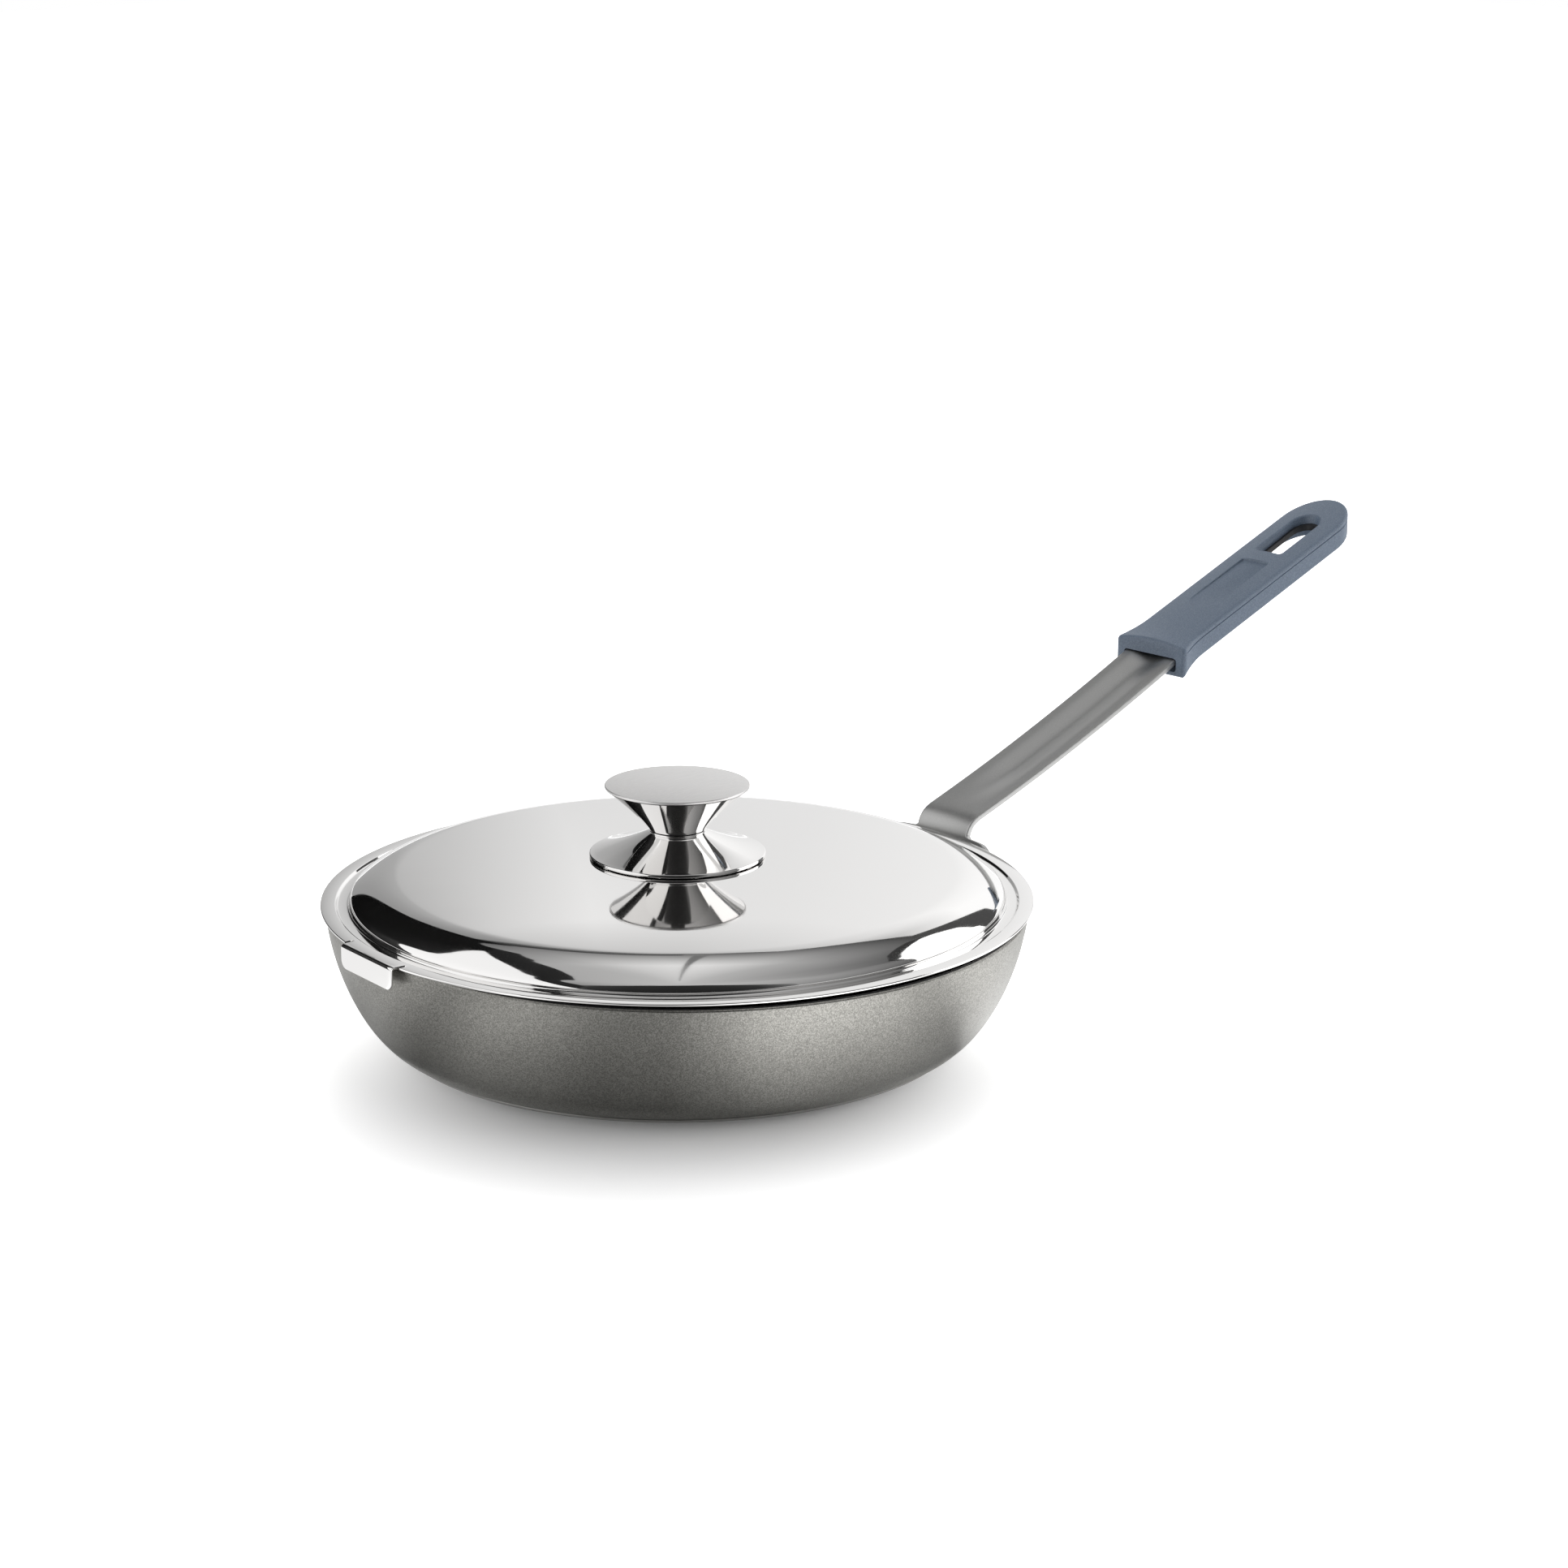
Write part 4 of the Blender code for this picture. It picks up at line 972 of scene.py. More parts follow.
@dataclass
class Rivets:
    """Three domed rivets through foot plate and wall."""

    spread: float = math.radians(11.0)
    count: int = 3
    height: float = 16.0 * MM
    shank: float = 2.4 * MM
    head: float = 4.8 * MM
    rise: float = 1.8 * MM
    inner_head: float = 1.4 * MM
    inner_edge: float = 0.7 * MM
    inner_face: float = -2.85 * MM
    outer_face: float = 2.75 * MM
    dome_steps: int = 12
    segments: int = 48

    def section(self) -> list[Point]:
        """Half section of a rivet along its own axis: low head inside the pan, domed head outside.

        Returns:
            Radius and place along the axis of each point.
        """
        dome = (self.head**2 + self.rise**2) / (2 * self.rise)
        half = math.asin(self.head / dome)
        centre = (0.0, self.outer_face + self.rise - dome)
        top = arc(centre, dome, math.pi / 2 - half, math.pi / 2, self.dome_steps)
        low = self.inner_face - self.inner_head
        face = self.inner_face
        inner = [(0.0, low), (self.head, low, self.inner_edge), (self.head, face), (self.shank, face)]
        return [*rounded(inner), (self.shank, self.outer_face), *top[:-1], (0.0, top[-1][1])]

    def build(self, lathe: Lathe, wall: PanBody, material: bpy.types.Material) -> None:
        """Turns one rivet, sets it in every place with Geometry Nodes and rides the row on the pan.

        Args:
            lathe: The lathe.
            wall: The pan, for radius and lean of its wall.
            material: The rivets' material.
        """
        single = lathe.turn("rivet_single", self.section(), self.segments, material)
        values = {
            "Rivet": single,
            "Count": self.count,
            "Spread": self.spread,
            "Radius": wall.radius_at(self.height),
            "Height": self.height,
            "Lean": math.pi / 2 + math.atan(wall.slope_at(self.height)),
            "Material": material,
        }
        kinds = ("Object", "Int", "Float", "Float", "Float", "Float", "Material")
        tree, given = new_tree("rivet_row", {name: f"NodeSocket{kind}" for name, kind in zip(values, kinds)})
        inputs = given.outputs
        middle = self.math(tree, "SUBTRACT", inputs["Count"], 1.0)
        middle = self.math(tree, "DIVIDE", middle, 2.0)
        number = add_node(tree, "GeometryNodeInputIndex").outputs[0]
        turn = self.math(tree, "SUBTRACT", number, middle)
        turn = self.math(tree, "MULTIPLY", turn, inputs["Spread"])
        across = self.math(tree, "MULTIPLY", self.math(tree, "COSINE", turn), inputs["Radius"])
        along = self.math(tree, "MULTIPLY", self.math(tree, "SINE", turn), inputs["Radius"])
        place = add_node(tree, "ShaderNodeCombineXYZ", inputs={0: across, 1: along, 2: inputs["Height"]})
        aim = add_node(tree, "ShaderNodeCombineXYZ", inputs={0: 0.0, 1: inputs["Lean"], 2: turn})
        row = {"Count": inputs["Count"], "Position": place.outputs[0]}
        points = add_node(tree, "GeometryNodePoints", inputs=row).outputs[0]
        source = add_node(tree, "GeometryNodeObjectInfo", inputs={"Object": inputs["Rivet"]})
        rivets = {"Points": points, "Instance": source.outputs["Geometry"], "Rotation": aim.outputs[0]}
        placed = add_node(tree, "GeometryNodeInstanceOnPoints", inputs=rivets)
        end_tree(tree, placed.outputs[0], inputs["Material"])
        host = new_piece("rivet_host", bpy.data.meshes.new("rivet_host"))
        modifier = host.modifiers.new("rivet_row", "NODES")
        modifier.node_group = tree
        set_inputs(modifier, values)
        piece = plain_copy(host, "handle_rivets")
        bpy.data.objects.remove(single, do_unlink=True)
        settle(piece, Body.PAN, Slot.FIXING, "rivet_right", "rivet_middle", "rivet_left")

    def math(self, tree: bpy.types.NodeTree, operation: str, *values: Any) -> bpy.types.NodeSocket:
        """Adds one math step and returns its result."""
        return add_node(tree, "ShaderNodeMath", {"operation": operation}, dict(enumerate(values))).outputs[0]


@dataclass
class Handle:
    """The pressed strap from its foot plate to its tongue, and the moulded grip on the tongue."""

    wall: PanBody
    width: float = 25.0 * MM
    thickness: float = 2.0 * MM
    edge: float = 0.3 * MM
    columns: int = 32
    foot_bottom: float = 8.0 * MM
    foot_contact: float = 24.0 * MM
    foot_top: float = 46.0 * MM
    foot_reach: float = 129.2 * MM
    foot_lean: float = 0.27
    foot_half: float = 30.8 * MM
    lower_corner: float = 7.0 * MM
    upper_corner: float = 12.0 * MM
    foot_fillet: float = 1.0 * MM
    wrap_run: float = 48.0 * MM
    flare_handle: float = 9.0 * MM
    bend_run: float = 7.8 * MM
    bend_rise: float = 7.85 * MM
    bend_slope: float = 0.338
    bend_low: float = 4.2 * MM
    bend_high: float = 5.5 * MM
    curve: float = 0.53
    grip_start: float = 240.0 * MM
    grip_rear: float = 346.74 * MM
    tongue_slope: float = 0.40
    tongue_half: float = 10.0 * MM
    tongue_entry: float = 4.0 * MM
    tongue_neck: float = 13.0 * MM
    tongue_shoulder: float = 3.0 * MM
    tongue_end: float = 338.5 * MM
    gutter_depth: float = 1.5 * MM
    gutter_half: float = 9.5 * MM
    gutter_in: float = 31.0 * MM
    gutter_out: float = 7.0 * MM
    gap: float = 0.3 * MM
    corner_steps: int = 8
    contact_steps: int = 7
    bend_steps: int = 24
    bend_starts: tuple[float, ...] = (0.012, 0.03, 0.05, 0.075)
    bar_steps: int = 40
    tip_steps: int = 9
    tip_turn: float = math.radians(80)

    def foot_radius(self, height: float) -> float:
        """Inner radius of the foot plate, one gap outside the pan wall."""
        return self.wall.radius_at(height) + self.gap * math.hypot(1.0, self.wall.slope_at(height))

    def top_at(self, reach: float) -> float:
        """Height of the strap's upper face at a distance from the pan's axis.

        Args:
            reach: Distance from the pan's axis.

        Returns:
            The height above the ground.
        """
        start = self.foot_reach + self.bend_run
        run = min(reach, self.grip_start) - start
        height = self.foot_top + self.bend_rise + self.bend_slope * run + self.curve * run * run
        return height + self.tongue_slope * max(reach - self.grip_start, 0.0)

    def gutter(self, across: float) -> float:
        """Depth of the pressed gutter at a distance from the strap's middle."""
        share = min(abs(across) / self.gutter_half, 1.0)
        return self.gutter_depth * 0.5 * (1 + math.cos(math.pi * share))

    def foot_stations(self) -> list[Station]:
        """Stations of the foot plate, from its lower corners to the foot of the bend.

        Returns:
            The stations, from the lowest upwards.
        """
        made = []
        for step in range(self.corner_steps + 1):
            angle = math.pi / 2 * step / self.corner_steps
            height = self.foot_bottom + self.lower_corner * (1 - math.cos(angle))
            half = self.foot_half - self.lower_corner * (1 - math.sin(angle))
            made.append(Station(self.foot_radius(height), height, half, 1.0))
        corner = self.foot_bottom + self.lower_corner
        for step in range(1, self.contact_steps):
            height = corner + (self.foot_contact - corner) * step / self.contact_steps
            made.append(Station(self.foot_radius(height), height, self.foot_half, 1.0))
        start = Vector((self.foot_radius(self.foot_contact), self.foot_contact))
        end = Vector((self.foot_reach, self.foot_top))
        up = Vector((self.wall.slope_at(self.foot_contact), 1.0)).normalized()
        lean = Vector((self.foot_lean, 1.0)).normalized()
        curve = (start, start + up * self.flare_handle, end - lean * self.flare_handle, end)
        for step in range(self.bend_steps + 1):
            reach, height = bezier(curve, math.sin(math.pi / 2 * step / self.bend_steps))
            rise = max(height - (self.foot_top - self.upper_corner), 0.0)
            inset = self.upper_corner - math.sqrt(max(self.upper_corner**2 - rise**2, 0.0))
            made.append(Station(reach, height, self.foot_half - inset, 1.0))
        return made

    def strap_stations(self) -> list[Station]:
        """Stations of the whole strap, from foot plate to the round end of the tongue.

        Returns:
            The stations, from the foot outwards.
        """
        made = self.foot_stations()
        half = self.width / 2
        start = Vector((self.foot_reach, self.foot_top))
        end = start + Vector((self.bend_run, self.bend_rise))
        lean = Vector((self.foot_lean, 1.0)).normalized()
        out = Vector((1.0, self.bend_slope)).normalized()
        curve = (start, start + lean * self.bend_low, end - out * self.bend_high, end)
        rest = (step / self.bend_steps for step in range(2, self.bend_steps + 1))
        for share in (*self.bend_starts, *rest):
            reach, height = bezier(curve, share)
            fillet = self.foot_fillet * (1 - smooth_step((height - self.foot_top) / self.foot_fillet))
            made.append(Station(reach, height, half + fillet, self.wrap_at(reach)))
        for step in range(1, self.bar_steps + 1):
            reach = end.x + (self.grip_start - end.x) * step / self.bar_steps
            gutter = smooth_step((reach - end.x) / self.gutter_in)
            made.append(Station(reach, self.top_at(reach), half, self.wrap_at(reach), gutter))
        neck = self.grip_start + self.tongue_neck
        flat = neck + self.gutter_out
        shoulder = neck + self.tongue_shoulder
        narrow = self.tongue_half
        inside = self.grip_start + self.tongue_entry
        for reach, width in ((inside, half), (neck, half), (shoulder, narrow), (flat, narrow)):
            gutter = smooth_step((flat - reach) / (flat - self.grip_start))
            made.append(Station(reach, self.top_at(reach), width, 0.0, gutter))
        for step in range(self.tip_steps + 1):
            angle = self.tip_turn * step / self.tip_steps
            reach = self.tongue_end - self.tongue_half * (1 - math.sin(angle))
            made.append(Station(reach, self.top_at(reach), self.tongue_half * math.cos(angle)))
        return made

    def wrap_at(self, reach: float) -> float:
        """Share of the pan's round that the strap still has at a reach."""
        return 1.0 - smooth_step((reach - self.foot_reach) / self.wrap_run)

    def build(self, lathe: Lathe) -> None:
        """Makes strap, grip and rivets and rides them on the pan.

        Args:
            lathe: The lathe, for the rivets.
        """
        steel = SatinStainless(
            name="brushed_strap_stainless_steel",
            colour="#bfbfbe",
            dark="#aeaead",
            roughness=0.3,
            line_width=0.2 * MM,
            line_length=30 * MM,
            line_height=0.006 * MM,
        ).material()
        # Painted shade: a near-black copy of the grip's finish stands in for the shadow on the tongue inside
        # the grip, where the slot shows it.
        black = MouldedGrip("black_tongue_primer", "#17181a", "#1c1d20", "#121315").material()
        grip = Grip(self)
        strap = from_builder(
            "handle_steel_strap",
            strip(self.strap_stations(), self.thickness, self.columns, self.edge, drop=self.gutter),
        )
        strap = combine(strap, [(grip.slot_tool("tongue_slot", grip.ledge, 0.0), "DIFFERENCE")])
        strap.data.materials.append(steel)
        strap.data.materials.append(black)
        # The tongue's faces past its neck, inside the grip, get the painted shade.
        for face in strap.data.polygons:
            face.material_index = int(face.center.x > self.grip_start + self.tongue_neck)
        settle(strap, Body.PAN, Slot.BRUSHED, "handle_strap")
        grip.build()
        Rivets().build(lathe, self.wall, steel)


@dataclass
class Grip:
    """The moulded sleeve: flared mouth, hanging slot, bare oval recess and a parting groove."""

    strap: Handle
    half: float = 14.5 * MM
    above: float = 5.4 * MM
    taper: float = 2.2 * MM
    thickness: float = 10.8 * MM
    crown: float = 1.1 * MM
    flare_crown: float = 0.8 * MM
    flare_length: float = 15.0 * MM
    flare_side: float = 3.2 * MM
    flare_top: float = 0.9 * MM
    flare_bottom: float = 1.6 * MM
    edge: float = 1.2 * MM
    low_edge: float = 1.8 * MM
    front_corner: float = 2.0 * MM
    groove_drop: float = 1.8 * MM
    groove_depth: float = 0.3 * MM
    groove_width: float = 0.5 * MM
    mouth_clearance: float = 0.6 * MM
    mouth_edge: float = 1.2 * MM
    slot_start: float = 307.0 * MM
    slot_length: float = 27.4 * MM
    slot_width: float = 12.7 * MM
    ledge: float = 1.1 * MM
    slot_corner: float = 1.2 * MM
    pocket_grow: float = 5.5 * MM
    pocket_drop: float = 5.9 * MM
    recess_start: float = 265.3 * MM
    recess_length: float = 34.7 * MM
    recess_width: float = 13.0 * MM
    recess_shallow: float = 0.5 * MM
    recess_depth: float = 1.1 * MM
    recess_corner: float = 0.6 * MM
    recess_fillet: float = 0.15 * MM
    recess_lip: float = 0.42 * MM
    lip: float = 0.7 * MM
    lip_angles: tuple[float, ...] = (0, 18, 36, 54, 72)
    tool_below: float = 6.0 * MM
    tool_above: float = 5.0 * MM
    columns: int = 24
    corner_steps: int = 5
    side_steps: int = 12
    round_steps: int = 24
    recess_steps: int = 4

    def flare(self, reach: float) -> float:
        """Share of the front flare that is left at a reach."""
        return max(1.0 - (reach - self.strap.grip_start) / self.flare_length, 0.0) ** 2

    def middle_top(self, reach: float) -> float:
        """Height of the top along the middle, without the flare."""
        share = (reach - self.strap.grip_start) / (self.strap.grip_rear - self.strap.grip_start)
        return self.strap.top_at(reach) + self.above - self.taper * share

    def half_at(self, reach: float) -> float:
        """Half width before the rear round."""
        return self.half + self.flare_side * self.flare(reach)

    def top_z(self, reach: float, across: float) -> float:
        """Height of the crowned top face.

        Args:
            reach: Distance from the pan's axis.
            across: Distance from the handle's middle plane.

        Returns:
            The height above the ground.
        """
        flare = self.flare(reach)
        crown = self.crown + self.flare_crown * flare
        rise = self.flare_top * flare - crown * (across / self.half_at(reach)) ** 2
        return self.middle_top(reach) + rise

    def bottom_z(self, reach: float) -> float:
        """Height of the underside."""
        return self.middle_top(reach) - self.thickness - self.flare_bottom * self.flare(reach)

    def right_side(self) -> list[Point]:
        """Plan outline of the +Y side, from the front face round its corner to just before the rear tip.

        Returns:
            The points, from front to rear.
        """
        start = self.strap.grip_start
        corner = self.front_corner
        made = []
        for step in range(1, self.corner_steps + 1):
            angle = math.pi / 2 * step / self.corner_steps
            reach = start + corner * (1 - math.cos(angle))
            made.append((reach, self.half_at(reach) - corner * (1 - math.sin(angle))))
        rear = self.strap.grip_rear - self.half
        flare_end = start + self.flare_length
        for step in range(1, self.side_steps + 1):
            reach = start + corner + (flare_end - start - corner) * step / self.side_steps
            made.append((reach, self.half_at(reach)))
        for step in range(1, self.side_steps + 1):
            made.append((flare_end + (rear - flare_end) * step / self.side_steps, self.half))
        for step in range(1, self.round_steps):
            angle = math.pi / 2 * step / self.round_steps
            made.append((rear + self.half * math.sin(angle), self.half * math.cos(angle)))
        return made

    def rings(self) -> list[tuple[float, float, bool]]:
        """Inset, drop or rise, and whether it hangs from the top, for each ring of the side wall.

        Returns:
            One row for each ring, from the top to the underside.
        """
        made = []
        quarter = [math.pi / 2 * step / self.corner_steps for step in range(self.corner_steps + 1)]
        for angle in quarter:
            made.append((self.edge * (1 - math.sin(angle)), self.edge * (1 - math.cos(angle)), True))
        low = self.groove_drop
        wide = self.groove_width
        deep = self.groove_depth
        groove = ((low, 0.0), (low + wide / 4, deep), (low + 3 * wide / 4, deep), (low + wide, 0.0))
        made += [(inset, drop, True) for drop, inset in groove]
        for angle in quarter:
            made.append((self.low_edge * (1 - math.cos(angle)), self.low_edge * (1 - math.sin(angle)), False))
        return made

    def skin(self) -> bmesh.types.BMesh:
        """Skins the sleeve: crowned top, ringed side wall and flat underside.

        Returns:
            A closed bmesh.
        """
        start = self.strap.grip_start
        right = self.right_side()
        count = self.columns
        flat = self.half_at(start) - self.front_corner
        front = [(start, flat * (2 * column / count - 1)) for column in range(count + 1)]
        outline = [*front, *right, (self.strap.grip_rear, 0.0), *((x, -y) for x, y in reversed(right))]
        total = len(outline)
        outward = []
        for index in range(total):
            before = Vector(outline[index - 1])
            after = Vector(outline[(index + 1) % total])
            along = (after - before).normalized()
            outward.append(Vector((-along.y, along.x)))
        for index in range(1, count):
            outward[index] = Vector((-1.0, 0.0))
        builder = bmesh.new()
        made = []
        for inset, step, hangs in self.rings():
            ring = []
            grooved = hangs and step > self.edge
            for place, away in zip(outline, outward):
                fade = smooth_step((place[0] - start) / self.front_corner - 0.5) if grooved else 1.0
                x, y = Vector(place) - away * inset * fade
                z = self.top_z(x, y) - step if hangs else self.bottom_z(x) + step
                ring.append(builder.verts.new((x, y, z)))
            made.append(ring)
        bridge(builder, made)
        for ring, height in ((made[0], self.top_z), (made[-1], lambda x, y: self.bottom_z(x))):
            self.close(builder, ring, len(right), height)
        return builder

    def close(self, builder: bmesh.types.BMesh, ring: list, rows: int, height: Callable) -> None:
        """Fills the inside of a ring with rows of faces across the sleeve.

        Args:
            builder: The bmesh.
            ring: The ring's vertices, front edge first.
            rows: Number of outline points on each side.
            height: Height at a place in plan.
        """
        count = self.columns
        last = ring[: count + 1]
        for row in range(1, rows + 1):
            left = ring[count + 2 * rows + 2 - row]
            right = ring[count + row]
            line = [left]
            for column in range(1, count):
                x, y, _ = left.co.lerp(right.co, column / count)
                line.append(builder.verts.new((x, y, height(x, y))))
            line.append(right)
            for column in range(count):
                builder.faces.new((last[column], last[column + 1], line[column + 1], line[column]))
            last = line
        tip = ring[count + rows + 1]
        for column in range(count):
            builder.faces.new((last[column], last[column + 1], tip))

    def slot_outline(self, inset: float, grow: float = 0.0) -> list[Point]:
        """Plan outline of the hanging slot, straight in front and round behind, drawn in or grown.

        Args:
            inset: How far it is drawn in.
            grow: How far it is grown.

        Returns:
            The points, in order round the slot.
        """
        radius = self.slot_width / 2 - inset + grow
        front = self.slot_start + inset - grow
        centre = self.slot_start + self.slot_length - self.slot_width / 2
        corner = self.slot_corner + grow
        steps = self.corner_steps
        made = arc((front + corner, corner - radius), corner, math.pi, 1.5 * math.pi, steps)
        made += arc((centre, 0.0), radius, -math.pi / 2, math.pi / 2, self.round_steps)
        return made + arc((front + corner, radius - corner), corner, math.pi / 2, math.pi, steps)

    def recess_outline(self, grow: float = 0.0) -> list[Point]:
        """Plan outline of the recess, round in front and straight behind.

        Args:
            grow: How far it is grown.

        Returns:
            The points, in order round the recess.
        """
        radius = self.recess_width / 2 + grow
        middle = (self.recess_start + self.recess_width / 2, 0.0)
        end = self.recess_start + self.recess_length + grow
        corner = self.recess_corner + grow
        made = arc(middle, radius, math.pi / 2, 1.5 * math.pi, self.round_steps)
        steps = self.recess_steps
        made += arc((end - corner, corner - radius), corner, 1.5 * math.pi, 2 * math.pi, steps)
        return made + arc((end - corner, radius - corner), corner, 0.0, math.pi / 2, steps)

    def slot_tool(self, name: str, inset: float, lip: float) -> bpy.types.Object:
        """Makes the tool that cuts the slot, with a rounded lip that follows the top face.

        Args:
            name: The tool's name.
            inset: How far the slot is drawn in.
            lip: Radius of the rounded lip, or 0 for none.

        Returns:
            The tool.
        """
        rings = [self.sunk(self.slot_outline(inset), self.under)]
        rings += self.lip_rings(lambda grow: self.slot_outline(inset, grow), lip)
        return from_builder(name, prism(rings))

    def pocket_tool(self) -> bpy.types.Object:
        """Makes the tool that hollows the underside round the slot."""
        outline = self.slot_outline(0.0, self.pocket_grow)
        roof = self.sunk(outline, lambda x, y: self.middle_top(x) - self.pocket_drop)
        return from_builder("pocket_tool", prism([self.sunk(outline, self.under), roof]))

    def recess_tool(self) -> bpy.types.Object:
        """Makes the tool that sinks the recess, with a sloping floor and a rounded lip."""
        fillet = self.recess_fillet
        rings = [self.sunk(self.recess_outline(-fillet), self.recess_floor)]
        rings.append(self.sunk(self.recess_outline(), lambda x, y: self.recess_floor(x, y) + fillet))
        rings += self.lip_rings(self.recess_outline, self.recess_lip)
        return from_builder("recess_tool", prism(rings))

    def recess_floor(self, reach: float, across: float) -> float:
        """Height of the recess's floor, which sinks towards its rear end.

        Args:
            reach: Distance from the pan's axis.
            across: Distance from the handle's middle plane. Not used.

        Returns:
            The height above the ground.
        """
        share = (reach - self.recess_start) / self.recess_length
        sink = self.recess_shallow + (self.recess_depth - self.recess_shallow) * share
        return self.middle_top(reach) - sink

    def under(self, reach: float, across: float) -> float:
        """Height of a tool's lower end, clear of the underside."""
        return self.bottom_z(reach) - self.tool_below

    def sunk(self, outline: list[Point], height: Callable) -> list[tuple[float, float, float]]:
        """Sets a plan outline at a height that may change along it."""
        return [(x, y, height(x, y)) for x, y in outline]

    def lip_rings(self, outline: Callable, lip: float) -> list[list[tuple[float, float, float]]]:
        """Rings of a rounded lip under the top face, then one above it.

        Args:
            outline: Plan outline for a growth.
            lip: The lip's radius.

        Returns:
            The rings, from below.
        """
        made = []
        for angle in self.lip_angles if lip else ():
            grow = lip * (1 - math.cos(math.radians(angle)))
            depth = lip * (1 - math.sin(math.radians(angle)))
            made.append(self.sunk(outline(grow), lambda x, y: self.top_z(x, y) - depth))
        made.append(self.sunk(outline(lip), lambda x, y: self.top_z(x, y) + self.tool_above))
        return made

    def mouth_tool(self) -> bpy.types.Object:
        """Makes the tool that opens the mouth round the strap."""
        start = self.strap.grip_start
        clear = self.mouth_clearance
        end = start + self.strap.tongue_neck + self.strap.gutter_out + clear
        half = self.strap.width / 2 + clear
        reaches = (start - self.strap.thickness, start, end)
        stations = [Station(reach, self.strap.top_at(reach), half) for reach in reaches]
        deep = self.strap.thickness + self.strap.gutter_depth + 2 * clear
        return from_builder("mouth_tool", strip(stations, deep, 2, self.mouth_edge, lift=clear))

    def build(self) -> None:
        """Makes the grip, dresses it and rides it on the pan."""
        sleeve = from_builder("handle_grip", self.skin())
        slot = self.slot_tool("slot_tool", 0.0, self.lip)
        tools = [self.mouth_tool(), slot, self.recess_tool(), self.pocket_tool()]
        sleeve = combine(sleeve, [(tool, "DIFFERENCE") for tool in tools])
        sleeve.data.materials.append(MouldedGrip().material())
        settle(sleeve, Body.PAN, Slot.GRIP, "grip_sleeve")


# Lid


@dataclass
class Tab:
    """The tab of the lid, bent down over the pan's wall."""

    angle: float = math.radians(172.3)
    width: float = 32.6 * MM
    face: float = 123.0 * MM
    drop: float = 8.0 * MM
    bend: float = 1.3 * MM
    corner: float = 3.0 * MM
    root: float = 4.5 * MM
    inset: float = 0.02 * MM
    edge: float = 0.15 * MM
    notch_width: float = 1.5 * MM
    notch_depth: float = 3.4 * MM
    notch_clear: float = 4.0 * MM
    columns: int = 12
    bend_steps: int = 10
    corner_steps: int = 8

    def tool(self, flange: float, top: float, sheet: float) -> bpy.types.Object:
        """Makes the tab as a bent strip.

        Args:
            flange: Radius of the lid's flange.
            top: Height of the flange's upper face.
            sheet: Sheet thickness.

        Returns:
            The tab, ready to be joined to the lid.
        """
        high = top - self.inset
        half = self.width / 2
        stations = [Station(flange - self.root, high, half), Station(self.face - 1.5 * self.bend, high, half)]
        centre = (self.face - self.bend, high - self.bend)
        for reach, height in arc(centre, self.bend, math.pi / 2, 0.0, self.bend_steps):
            stations.append(Station(reach, height, half))
        bottom = top - self.drop
        for step in range(self.corner_steps + 1):
            angle = math.pi / 2 * step / self.corner_steps
            height = bottom + self.corner * (1 - math.sin(angle))
            stations.append(Station(self.face, height, half - self.corner * (1 - math.cos(angle))))
        return self.turned("tab_tool", strip(stations, sheet - 2 * self.inset, self.columns, self.edge))

    def notch_tool(self, flange: float, top: float, side: int) -> bpy.types.Object:
        """Makes the cutter of a relief notch beside the tab.

        Args:
            flange: Radius of the lid's flange.
            top: Height of the flange's upper face.
            side: 1 or -1.

        Returns:
            The cutter.
        """
        middle = side * (self.width + self.notch_width) / 2
        outer = math.sqrt(flange**2 - middle**2)
        half = self.notch_width / 2
        root = (outer - self.notch_depth + half, middle)
        clear = self.notch_clear
        plan = [(outer + clear, middle - half), (outer + clear, middle + half)]
        plan += arc(root, half, math.pi / 2, 1.5 * math.pi, self.bend_steps)
        rings = [[(x, y, height) for x, y in plan] for height in (top - clear, top + clear)]
        return self.turned(f"notch_tool_{side}", prism(rings))

    def turned(self, name: str, builder: bmesh.types.BMesh) -> bpy.types.Object:
        """Turns a shape to the tab's side of the lid.

        Args:
            name: The new object's name.
            builder: The shape, made on the +X side.

        Returns:
            The object.
        """
        turn = Matrix.Rotation(self.angle, 3, "Z")
        bmesh.ops.rotate(builder, cent=(0, 0, 0), matrix=turn, verts=builder.verts)
        return from_builder(name, builder)


